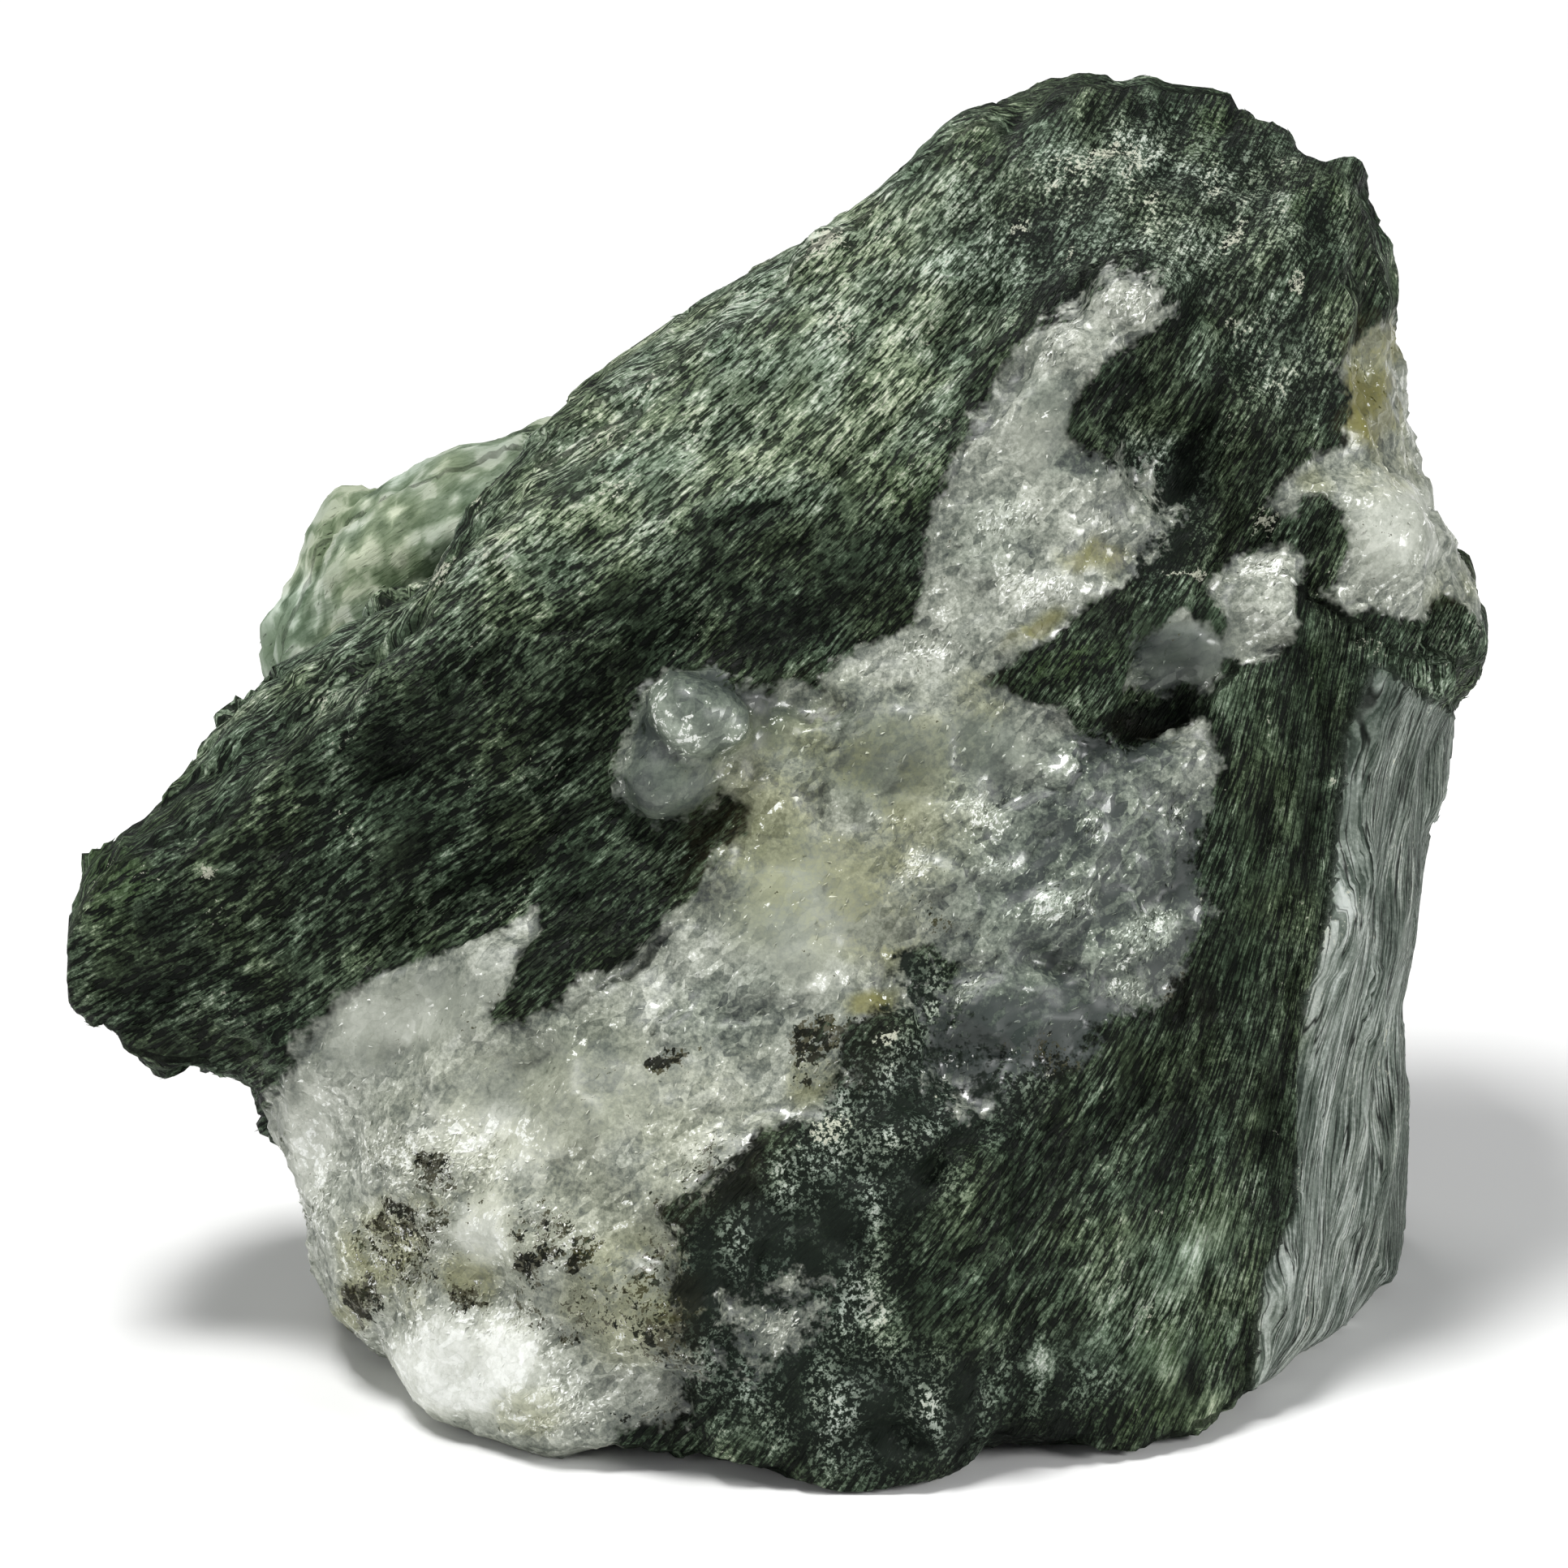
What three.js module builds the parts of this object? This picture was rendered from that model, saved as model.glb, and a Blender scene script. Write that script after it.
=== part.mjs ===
// A raw lump of fibrous green tourmaline grown through milky quartz, as one solid stone.
// Units are millimetres. +X is right, +Y goes away from the front, +Z is up, and the stone
// rests on z = 0, with the origin at the middle of its bounding box's base.
//
// The stone is drawn on a sheet that leans back by LEAN, as an eye at EYE sees it. A place on
// the sheet is [across, up], and a point of the stone is [across, up, toward], where toward is
// how far it stands out of the sheet, to the eye.
import * as THREE from "three";
import { ConvexHull } from "three/addons/math/ConvexHull.js";
import { ImprovedNoise } from "three/addons/math/ImprovedNoise.js";

const LEAN = THREE.MathUtils.degToRad(20);
const EYE = 420;
const REST_HEIGHT = -23.1; // the resting plane, below the sheet's middle
const BASE_LEVELLING = 0.3; // what lies this little above the resting plane is part of it
const CELL = 1.65; // of the grid that the skin is drawn on

// The face's outline on the sheet, from the left tip over the crown to the foot and back.
const FACE_OUTLINE = [
  [-29.4, -8.0], [-29.3, -6.5], [-28.0, -3.8], [-27.3, -1.9], [-26.4, -1.3], [-24.9, -0.4],
  [-24.1, 0.6], [-22.2, 2.7], [-20.8, 3.9], [-18.4, 5.8], [-16.5, 7.4], [-14.7, 8.3],
  [-14.0, 9.8], [-12.6, 11.6], [-11.1, 13.5], [-9.4, 15.2], [-7.6, 16.8], [-5.5, 18.0],
  [-3.4, 19.5], [-1.4, 21.0], [1.1, 22.3], [3.3, 23.9], [4.9, 25.4], [6.7, 26.8],
  [7.5, 27.5], [8.8, 28.1], [10.6, 28.7], [12.1, 29.0], [13.4, 28.6], [15.0, 28.6],
  [16.2, 28.9], [17.3, 28.7], [18.3, 28.2], [19.2, 27.2], [20.5, 26.7], [21.3, 26.1],
  [21.6, 25.6], [23.3, 25.5], [23.8, 25.3], [24.0, 24.5], [24.5, 23.5], [24.9, 21.2],
  [25.4, 18.7], [25.6, 17.0], [26.0, 13.7], [26.5, 12.0], [27.1, 10.5], [27.8, 9.7],
  [28.5, 7.6], [28.7, 6.5], [28.6, 5.5], [28.3, 4.3], [27.6, 3.2], [27.3, 1.8],
  [26.9, -1.2], [26.2, -1.9], [26.2, -3.9], [25.8, -6.8], [25.3, -8.6], [25.3, -10.3],
  [25.5, -12.7], [25.5, -15.6], [25.1, -20.2], [24.2, -20.8], [23.2, -22.5], [22.4, -22.7],
  [20.5, -23.7], [19.3, -24.9], [16.6, -26.3], [14.2, -27.2], [11.5, -26.9], [8.6, -26.7],
  [8.0, -26.9], [7.4, -27.7], [6.8, -28.4], [5.8, -28.9], [4.1, -29.0], [2.1, -28.9],
  [0.8, -28.7], [-1.4, -27.8], [-3.9, -27.5], [-5.9, -27.1], [-7.6, -27.2], [-9.6, -27.6],
  [-10.8, -27.5], [-12.1, -26.9], [-13.7, -26.3], [-14.7, -25.4], [-16.4, -23.4],
  [-18.2, -22.2], [-19.1, -20.1], [-19.5, -18.1], [-20.1, -16.0], [-21.4, -13.6],
  [-22.3, -13.0], [-23.8, -11.5], [-24.3, -11.3], [-25.2, -11.5], [-26.0, -11.3],
  [-26.8, -10.8], [-27.8, -10.5], [-28.9, -9.7], [-29.3, -8.8],
];

// The upper edge of the lobe that stands behind the arm, and a closing stretch behind the arm.
const LOBE_OUTLINE = [
  [-20.7, 3.5], [-20.7, 6.7], [-20.3, 7.4], [-19.7, 9.5], [-18.8, 11.3], [-17.9, 11.9],
  [-16.6, 12.5], [-14.0, 13.6], [-12.5, 14.1], [-10.5, 14.4], [-6.0, 15.0], [4.0, 6.0],
  [0.0, -12.0], [-14.0, -18.0], [-19.5, -9.0],
];

// Convex lumps of stone, each the hull of its corners.
const BODY = [
  [8.0, -28.8, 9.3], [14.5, -28.3, 8.0], [19.6, -25.4, 4.2], [26.2, -21.2, -12],
  [-8.9, -28.8, 8], [-2.9, -28.8, 9.5], [20.9, -14.0, 4.1], [21.1, -8.1, 3.6],
  [21.9, -1.1, 3.3], [23.1, 3.2, 3.0], [24.6, 6.4, 1.5], [17.8, -1.1, 4.8],
  [12.1, -12.8, 8.4], [4.5, -17.8, 11.3], [6.1, 0.5, 5.0], [-2.2, -6.1, 5.5],
  [11.1, 8.9, 3.0], [28.4, 0.2, -12], [26.4, -10.5, -13], [-14.0, -27.8, 4],
  [-18.4, -23.8, -4], [-10.9, -17.8, 8], [-19.8, -15.1, -2], [-17.2, -11.1, -15],
  [21.8, 7.9, 3.2], [25.3, 5.0, 2.4], [26.5, 6.0, -14], [18.0, 8.0, -18],
  [-8.9, 2.2, -16], [18.5, -9.8, -23], [4.5, -5.5, -24], [-7.9, -11.5, -23],
  [19.8, -19.5, -21], [4.0, -20.5, -23], [-9.5, -20.0, -20], [-16.2, -20.0, -14],
];
const ARM = [
  [-30.0, -8.1, 1], [-29.6, -5.6, 1], [-27.9, -10.9, 1.0], [-23.9, -12.1, 0],
  [-20.7, -13.2, -2], [-24.5, -2.8, 5], [-13.5, 6.5, 7.2], [-3.9, 10.5, 7.7],
  [7.1, 13.5, 7], [14.5, 18.2, 4.5], [-20.5, -10.8, 3], [-13.5, -6.5, 5.4],
  [-2.2, -1.5, 6], [5.1, 5.5, 6.2], [-28.4, -2.4, -3], [-22.6, 3.4, -3.5],
  [-16.8, 8.2, -4], [-9.4, 16.2, -4], [-0.4, 22.8, -5], [6.8, 28.4, -6],
  [12.1, 29.6, -9], [-25.5, -6.1, -9], [-15.5, 3.9, -11], [-2.2, 13.2, -14],
  [7.8, 20.0, -16], [14.5, 23.2, -16], [-21.2, -12.1, -8],
];
const CROWN = [
  [12.1, 29.8, -9], [10.8, 29.2, -5], [16.5, 29.4, -8], [19.2, 27.8, -7],
  [24.2, 25.8, -6], [25.0, 23.5, -6], [26.2, 14.9, -7], [8.8, 22.2, 1.5],
  [16.1, 20.5, 4.5], [22.8, 21.2, 1.0], [23.8, 13.5, 1.5], [16.1, 11.5, 4],
  [20.5, 12.2, 3.5], [9.5, 15.5, 6], [26.9, 9.5, -6], [24.5, 8.9, 1],
  [11.1, 25.5, -15], [22.8, 23.5, -14], [25.8, 13.5, -15], [9.5, 12.2, -18],
  [26.1, 5.5, -17],
];
const KNOB = [
  [22.5, 11.5, 3], [21.5, 8.9, 3.5], [24.5, 10.9, 2.8], [27.1, 10.2, -1],
  [29.2, 7.5, -5], [29.2, 5.2, -6], [28.2, 2.6, -7], [25.1, 5.5, 3.0],
  [22.8, 6.9, 4.2], [24.1, 3.5, 2.6], [27.8, 8.9, -15], [27.8, 3.5, -15],
  [24.5, 8.9, -15],
];
const VEIN = [
  [7.1, 13.5, 6.8], [6.1, 6.9, 6.8], [1.1, 3.5, 6.6], [-2.2, -1.1, 6.4],
  [15.5, 20.5, 5.8], [15.8, 18.9, 5.8], [12.5, 17.2, 6.9], [11.8, 13.5, 6.7],
  [15.1, 10.9, 6.0], [13.8, 7.5, 6.0], [8.8, 4.9, 6.2], [21.8, 10.5, 3.4],
  [21.1, 6.9, 3.8], [17.8, -1.1, 5.5], [12.1, -9.5, 8.4], [1.1, -9.5, 8.6],
  [7.8, 8.9, -14], [17.8, 5.5, -14], [1.1, -4.5, -12], [17.8, 12.2, -14],
];
const BULGE = [
  [-13.5, -6.5, 6.8], [-16.5, -7.8, 6.0], [-19.9, -10.8, 3.4], [-20.9, -13.5, 1.0],
  [-20.2, -17.1, 1.5], [-19.2, -21.5, 1.5], [-16.4, -24.0, 3], [-13.7, -27.0, 5],
  [-8.9, -28.6, 8.2], [-11.5, -17.8, 10.3], [-5.5, -9.5, 9.0], [-2.2, -14.5, 10.4],
  [-3.9, -22.8, 11.4], [-6.9, -28.0, 9.0], [-15.5, -14.5, -12], [-5.5, -17.8, -12],
  [-17.2, -21.1, -12], [-22.4, -12.4, -3.5], [-21.6, -9.4, 0.5], [-20.5, -13.0, -8],
];
const WAIST = [
  [-13.0, -7.0, 6.2], [-9.8, -5.2, 6.8], [-1.5, 3.5, 6.8], [4.0, -4.0, 7.4],
  [5.5, -12.5, 9.9], [-8.9, -11.1, 9.6], [2.5, -17.5, 11.0], [-5.5, -18.5, 11.2],
  [-3.5, -25.0, 10.6], [-6.0, -6.0, -12], [0.0, 0.0, -12], [-2.0, -20.0, -8],
];
const TOE = [
  [-2.5, -28.8, 10], [1.1, -29.6, 11.0], [4.1, -29.8, 11.2], [7.3, -29.2, 10.6],
  [8.2, -27.0, 10.9], [8.5, -17.0, 10.6], [2.5, -13.5, 10.4], [-3.5, -18.1, 11.2],
  [1.1, -27.8, -5], [7.1, -27.8, -5],
];
const BACK = [
  [-15.5, 3.9, -8], [11.1, 22.2, -12], [22.8, 15.5, -12], [-8.9, -7.8, -8],
  [17.8, -7.8, -8], [-10.2, 2.2, -19], [-1.2, 9.5, -20], [11.1, 13.5, -20],
  [21.8, 8.9, -18.5], [18.5, -9.1, -23], [-7.9, -11.1, -23], [4.5, -4.1, -24],
];
const HEART = [
  [-22.0, -6.0, -1], [-14.0, 4.0, 3], [-4.0, 9.5, 4], [8.0, 13.0, 4.5],
  [15.0, 18.0, 2.5], [22.0, 20.0, -2], [23.0, 7.0, 1], [21.0, -8.0, 0],
  [17.0, -24.0, 0], [0.0, -27.0, 6], [-15.0, -24.0, -1], [-19.0, -12.0, -1],
  [0.0, -14.0, 8.5], [-14.0, -10.0, -10], [-5.0, 4.0, -13], [14.0, 20.0, -12],
  [22.0, 6.0, -13], [16.0, -16.0, -17], [-6.0, -16.0, -18],
];
const LOBE = [
  [-21.2, 6.7, -16], [-21.2, 3.5, -16], [-19.9, 10.4, -16], [-18.0, 12.6, -16],
  [-14.0, 14.2, -16], [-10.5, 15.0, -15], [-7.2, 14.5, -14], [-17.2, 6.9, -10],
  [-13.5, 10.5, -9.5], [-18.2, 3.9, -10], [-19.5, 0.5, -13], [-15.5, -7.8, -14],
  [-15.5, 8.9, -22], [-8.9, 11.5, -22], [-18.2, 3.9, -21], [-12.2, -6.1, -22],
  [-17.2, -2.8, -19], [0.0, 0.0, -16], [0.0, -10.0, -20],
];

// Rounded grains that stand proud of the face, and pits sunk in it: [across, up, toward, radius].
const GRAINS = [
  [-3.6, 2.6, 7.0, 2.0], [-4.8, 0.4, 6.4, 2.3], [14.4, 19.8, 5.0, 2.0], [12.0, 17.0, 5.4, 2.2],
  [27.4, 6.4, -3.5, 2.4], [24.0, 8.6, 1.6, 2.2],
];
const PITS = [
  [15.8, 3.4, 7.2, 2.4], [16.4, 13.2, 6.8, 2.6], [19.4, 10.2, 5.8, 2.0], [8.6, -28.8, 11.6, 2.4],
];

// The relief of the stone's skin.
const FOLD_LENGTH = 11; // of a fold in the fibres
const FOLD_WIDTH = 3.2;
const FOLD_HEIGHT = 1.0;
const KNOLL_WIDTH = 4.2; // of a knoll in the quartz
const KNOLL_HEIGHT = 1.0;

const FILLET = 2.0; // where two lumps meet
const GRAIN_FILLET = 0.6; // round a grain or a pit
const RIM = 1.2; // rounding where a lump meets its outline

// The unit vectors of the sheet: across, up, and out of it to the eye.
const ACROSS = new THREE.Vector3(1, 0, 0);
const UP = new THREE.Vector3(0, Math.sin(LEAN), Math.cos(LEAN));
const TOWARD = new THREE.Vector3(0, -Math.cos(LEAN), Math.sin(LEAN));

/** The point that the eye sees at [across, up] on the sheet, standing out of it by toward. */
function seen([across, up, toward]) {
  const scale = (EYE - toward) / EYE;
  return new THREE.Vector3()
    .addScaledVector(ACROSS, across * scale)
    .addScaledVector(UP, up * scale)
    .addScaledVector(TOWARD, toward);
}

/** The inverse of seen: [across, up, toward] of a point. */
function onSheet(point) {
  const toward = point.dot(TOWARD);
  const scale = (EYE - toward) / EYE;
  return [point.dot(ACROSS) / scale, point.dot(UP) / scale, toward];
}

/** The larger of two distances, rounded over where they are within a radius of each other. */
function roundMax(p, q, radius) {
  const blend = Math.max(radius - Math.abs(p - q), 0) / radius;
  return Math.max(p, q) + (blend * blend * radius) / 4;
}

/** The smaller of two distances, filleted where they are within a radius of each other. */
function roundMin(p, q, radius) {
  return -roundMax(-p, -q, radius);
}

const noise = new ImprovedNoise();

/** The relief of fibrous stone, in folds that run up the sheet at a slope. */
function folded(slope) {
  const angle = THREE.MathUtils.degToRad(slope);
  const along = ACROSS.clone().multiplyScalar(Math.cos(angle)).addScaledVector(UP, Math.sin(angle));
  const beside = new THREE.Vector3().crossVectors(TOWARD, along);
  return (point) => FOLD_HEIGHT * noise.noise(
    point.dot(along) / FOLD_LENGTH,
    point.dot(beside) / FOLD_WIDTH,
    point.dot(TOWARD) / FOLD_WIDTH,
  );
}

/** The relief of massive quartz, in knolls. */
function knolled(point) {
  return KNOLL_HEIGHT * noise.noise(...point.clone().divideScalar(KNOLL_WIDTH).toArray());
}

/** The distance of a point outside the hull of some corners with a relief, negative inside. */
function lump(corners, relief) {
  const planes = new ConvexHull().setFromPoints(corners.map(seen)).faces;
  return (point) => planes.reduce(
    (most, plane) => Math.max(most, plane.distanceToPoint(point)), -Infinity,
  ) + relief(point);
}

/** The distance of a point outside a ball of the stone, negative inside. */
function ball([across, up, toward, radius]) {
  const middle = seen([across, up, toward]);
  return (point) => point.distanceTo(middle) - radius;
}

/** The distance of a place on the sheet outside a closed outline, negative inside. */
function outlineDistance(outline, across, up) {
  let nearest = Infinity;
  let inside = false;
  outline.forEach(([x1, y1], i) => {
    const [x0, y0] = outline[(i + outline.length - 1) % outline.length];
    const [dx, dy] = [x1 - x0, y1 - y0];
    const along = THREE.MathUtils.clamp(
      ((across - x0) * dx + (up - y0) * dy) / (dx * dx + dy * dy), 0, 1,
    );
    nearest = Math.min(nearest, Math.hypot(across - x0 - along * dx, up - y0 - along * dy));
    if (y0 > up !== y1 > up && across < x0 + (dx * (up - y0)) / dy) inside = !inside;
  });
  return inside ? -nearest : nearest;
}

const faceLumps = [
  lump(BODY, folded(62)),
  lump(ARM, folded(40)),
  lump(CROWN, folded(57)),
  lump(BACK, folded(48)),
  lump(HEART, folded(48)),
  lump(KNOB, knolled),
  lump(VEIN, knolled),
  lump(BULGE, knolled),
  lump(WAIST, knolled),
  lump(TOE, folded(62)),
];
const lobeLump = lump(LOBE, knolled);
const grains = GRAINS.map(ball);
const pits = PITS.map(ball);

/** The distance of a point outside the stone, negative inside. */
function stoneField(point) {
  const [across, up, toward] = onSheet(point);
  const scale = (EYE - toward) / EYE;
  let face = faceLumps.map((distance) => distance(point)).reduce((p, q) => roundMin(p, q, FILLET));
  for (const grain of grains) face = roundMin(face, grain(point), GRAIN_FILLET);
  for (const pit of pits) face = roundMax(face, -pit(point), GRAIN_FILLET);
  face = roundMax(face, outlineDistance(FACE_OUTLINE, across, up) * scale, RIM);
  const lobe = roundMax(lobeLump(point), outlineDistance(LOBE_OUTLINE, across, up) * scale, RIM);
  return Math.max(roundMin(face, lobe, FILLET), REST_HEIGHT - point.z);
}

/** A field's values at the corners of a grid of cells that holds a box. */
function sampleGrid(field, box, cell) {
  const low = box.min.clone().addScalar(-1.37 * cell);
  const counts = box.getSize(new THREE.Vector3()).divideScalar(cell).ceil().addScalar(4).toArray();
  const [nx, ny, nz] = counts;
  const corner = (i, j, k) => new THREE.Vector3(i, j, k).multiplyScalar(cell).add(low);
  const at = (i, j, k) => i + nx * (j + ny * k);
  const values = new Float64Array(nx * ny * nz);
  for (let k = 0; k < nz; k += 1) {
    for (let j = 0; j < ny; j += 1) {
      for (let i = 0; i < nx; i += 1) values[at(i, j, k)] = field(corner(i, j, k));
    }
  }
  return { counts, corner, at, values };
}

/** Whether some corners of a cell, numbered by bits, are all joined by the cell's edges. */
function joinedInCell(corners) {
  const reached = new Set(corners.slice(0, 1));
  for (const corner of reached) {
    for (const bit of [1, 2, 4]) {
      if (corners.includes(corner ^ bit)) reached.add(corner ^ bit);
    }
  }
  return reached.size === corners.length;
}

/** The grid's corners on the same side of the skin as a first one, and joined to it. */
function joinedTo(first, { counts: [nx, ny], values }) {
  const joined = new Set([first]);
  for (const index of joined) {
    for (const step of [1, -1, nx, -nx, nx * ny, -nx * ny]) {
      const next = index + step;
      if (next in values && values[next] < 0 === values[first] < 0) joined.add(next);
    }
  }
  return joined;
}

/** Fills a grid's pinches and sealed hollows, and drops loose crumbs, for one closed skin. */
function makeWhole(grid) {
  const { counts: [nx, ny], values } = grid;
  const offsets = [...Array(8).keys()].map((c) => (c & 1) + nx * ((c >> 1) & 1) + nx * ny * (c >> 2));
  const cellCorners = [...offsets.keys()];
  let changed = true;
  while (changed) {
    changed = false;
    for (let index = 0; index < values.length - offsets[7]; index += 1) {
      const inside = cellCorners.filter((c) => values[index + offsets[c]] < 0);
      if (inside.length < 2 || inside.length > 6) continue;
      const outside = cellCorners.filter((c) => !inside.includes(c));
      if (joinedInCell(inside) && joinedInCell(outside)) continue;
      for (const c of outside) values[index + offsets[c]] = -CELL;
      changed = true;
    }
  }
  const stone = joinedTo(values.indexOf(values.reduce((p, q) => Math.min(p, q))), grid);
  const air = joinedTo(0, grid);
  values.forEach((value, index) => {
    if (value < 0 && !stone.has(index)) values[index] = CELL;
    if (value >= 0 && !air.has(index)) values[index] = -CELL;
  });
}

/** Where a field is zero between an inside and an outside point, and its slope there. */
function crossing(field, inside, outside) {
  const [near, far] = [inside.clone(), outside.clone()];
  for (let i = 0; i < 8; i += 1) {
    const middle = near.clone().lerp(far, 0.5);
    (field(middle) < 0 ? near : far).copy(middle);
  }
  const step = 0.05;
  const slope = [0, 1, 2].map((axis) => {
    const offset = new THREE.Vector3().setComponent(axis, step);
    return field(near.clone().add(offset)) - field(near.clone().sub(offset));
  });
  return { place: near, normal: new THREE.Vector3(...slope).normalize() };
}

/** The point that lies best on all the planes of some crossings, kept inside a cell. */
function bestPoint(crossings, cellLow, cell) {
  const pull = 0.08; // towards the crossings' middle, so that a flat cell has one answer
  const middle = crossings
    .reduce((sum, { place }) => sum.add(place), new THREE.Vector3())
    .divideScalar(crossings.length);
  const rows = [pull, 0, 0, 0, pull, 0, 0, 0, pull];
  const right = new THREE.Vector3();
  for (const { place, normal } of crossings) {
    const n = normal.toArray();
    for (let r = 0; r < 9; r += 1) rows[r] += n[Math.floor(r / 3)] * n[r % 3];
    right.addScaledVector(normal, place.clone().sub(middle).dot(normal));
  }
  const inverse = new THREE.Matrix3().set(...rows).invert();
  return right.applyMatrix3(inverse).add(middle)
    .clamp(cellLow, cellLow.clone().addScalar(cell));
}

/** The closed skin of a field's inside, with its corners kept sharp (dual contouring). */
function skin(field, box, cell) {
  const grid = sampleGrid(field, box, cell);
  makeWhole(grid);
  const { counts: [nx, ny, nz], corner, at, values } = grid;
  const points = [];
  const pointOf = new Map();
  const faces = [];
  const axes = [[1, 0, 0], [0, 1, 0], [0, 0, 1]];

  const crossingOf = new Map();

  // The crossing on the edge from a grid corner along an axis, or undefined.
  const edgeCrossing = (start, axis) => {
    const end = start.map((index, i) => index + axes[axis][i]);
    const [starts, ends] = [values[at(...start)] < 0, values[at(...end)] < 0];
    if (starts === ends) return undefined;
    const key = 3 * at(...start) + axis;
    if (!crossingOf.has(key)) {
      const [inside, outside] = starts ? [start, end] : [end, start];
      crossingOf.set(key, crossing(field, corner(...inside), corner(...outside)));
    }
    return crossingOf.get(key);
  };

  const cellPoint = (i, j, k) => {
    const key = at(i, j, k);
    if (!pointOf.has(key)) {
      const crossings = [];
      for (const axis of [0, 1, 2]) {
        for (const [u, v] of [[0, 0], [0, 1], [1, 0], [1, 1]]) {
          const start = [i, j, k];
          start[(axis + 1) % 3] += u;
          start[(axis + 2) % 3] += v;
          const found = edgeCrossing(start, axis);
          if (found) crossings.push(found);
        }
      }
      pointOf.set(key, points.length);
      points.push(bestPoint(crossings, corner(i, j, k), cell));
    }
    return pointOf.get(key);
  };

  for (let k = 1; k < nz - 1; k += 1) {
    for (let j = 1; j < ny - 1; j += 1) {
      for (let i = 1; i < nx - 1; i += 1) {
        const inside = values[at(i, j, k)] < 0;
        axes.forEach(([di, dj, dk], axis) => {
          if (inside === values[at(i + di, j + dj, k + dk)] < 0) return;
          const around = [[0, 0], [-1, 0], [-1, -1], [0, -1]].map(([u, v]) => {
            const place = [i, j, k];
            place[(axis + 1) % 3] += u;
            place[(axis + 2) % 3] += v;
            return cellPoint(...place);
          });
          faces.push(...quad(inside ? around : around.reverse(), points));
        });
      }
    }
  }
  const flat = new Float32Array(points.flatMap((p) => p.toArray()));
  return new THREE.BufferGeometry()
    .setAttribute("position", new THREE.BufferAttribute(flat, 3))
    .setIndex(faces.flat());
}

/** Four corners as two triangles, parted along the shorter diagonal. */
function quad([a, b, c, d], points) {
  return points[a].distanceTo(points[c]) < points[b].distanceTo(points[d])
    ? [[a, b, c], [a, c, d]]
    : [[a, b, d], [b, c, d]];
}

/** Levels a geometry's base and moves it so that its bounding box's base is centred on the origin. */
function seatOnOrigin(geometry) {
  const { position } = geometry.attributes;
  for (let i = 0; i < position.count; i += 1) {
    if (position.getZ(i) < REST_HEIGHT + BASE_LEVELLING) position.setZ(i, REST_HEIGHT);
  }
  geometry.computeBoundingBox();
  const { min, max } = geometry.boundingBox;
  return geometry.translate(-(min.x + max.x) / 2, -(min.y + max.y) / 2, -min.z);
}

const reach = new THREE.Box3(new THREE.Vector3(-32, -34, -24), new THREE.Vector3(32, 40, 32));
const stone = new THREE.Mesh(
  seatOnOrigin(skin(stoneField, reach, CELL)),
  new THREE.MeshStandardMaterial({ color: 0x3d4f3e, roughness: 0.55, metalness: 0 }),
);
stone.name = "raw_tourmaline";

const group = new THREE.Group();
group.add(stone);
export default group;
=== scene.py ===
"""A raw lump of fibrous green tourmaline grown through milky quartz.

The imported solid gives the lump's form. This script gives it its skin: splintered fibres on the
tourmaline, sugary grains on the quartz, and the colours, stains and specks of both.
"""

from __future__ import annotations

import itertools
import logging
import math
from dataclasses import dataclass, field
from enum import Enum
from typing import Any, Callable, Sequence

import bmesh
import bpy
import numpy as np
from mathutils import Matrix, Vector


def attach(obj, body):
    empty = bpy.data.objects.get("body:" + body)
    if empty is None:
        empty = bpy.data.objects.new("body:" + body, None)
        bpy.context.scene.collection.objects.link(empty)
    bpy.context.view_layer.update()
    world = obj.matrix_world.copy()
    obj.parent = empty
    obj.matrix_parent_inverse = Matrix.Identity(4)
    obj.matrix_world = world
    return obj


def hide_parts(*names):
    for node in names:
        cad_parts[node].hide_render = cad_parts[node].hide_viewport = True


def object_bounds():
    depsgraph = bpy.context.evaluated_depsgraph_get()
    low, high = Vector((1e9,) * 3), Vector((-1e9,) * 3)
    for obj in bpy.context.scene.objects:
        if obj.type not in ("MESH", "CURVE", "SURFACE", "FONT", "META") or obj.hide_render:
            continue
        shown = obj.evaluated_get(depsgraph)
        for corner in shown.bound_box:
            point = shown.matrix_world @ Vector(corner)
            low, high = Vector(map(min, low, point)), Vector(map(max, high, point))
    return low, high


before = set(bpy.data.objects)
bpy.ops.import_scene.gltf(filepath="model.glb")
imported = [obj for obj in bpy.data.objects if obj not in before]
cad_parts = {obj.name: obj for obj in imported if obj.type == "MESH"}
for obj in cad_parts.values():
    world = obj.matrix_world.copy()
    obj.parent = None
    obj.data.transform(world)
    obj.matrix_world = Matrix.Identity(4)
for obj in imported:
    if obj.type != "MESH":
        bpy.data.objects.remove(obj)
CAD_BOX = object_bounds()

LOG = logging.getLogger("raw_tourmaline")
MM = 0.001  # a millimetre, in Blender's metres
NODE = "raw_tourmaline"

# The sheet that the stone is drawn on: it leans back, and an eye looks at its middle.
SHEET_LEAN = math.radians(20)
EYE_DISTANCE = 420.0  # mm, from the sheet's middle
SHEET_MIDDLE = np.array([0.0, -2.51, 23.10])  # mm, in the stone's frame
SHEET_WIDTH = 64.4  # mm, what the eye takes in at the sheet

Points = np.ndarray  # N x 3, in mm
Field = np.ndarray  # N values, one for each point
Place = tuple[float, float]  # across and up on the sheet, in mm
Facets = tuple[tuple[Field, Field], ...]  # the heights and random values of kinds of grains
Triple = tuple[float, float, float]
Colour = Triple  # red, green and blue
Tones = tuple[tuple[float, Colour], ...]  # a ramp's stops, from dark to light

PATCH_CORE = 0.35  # of a patch's radius, inside which it has its full strength


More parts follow.
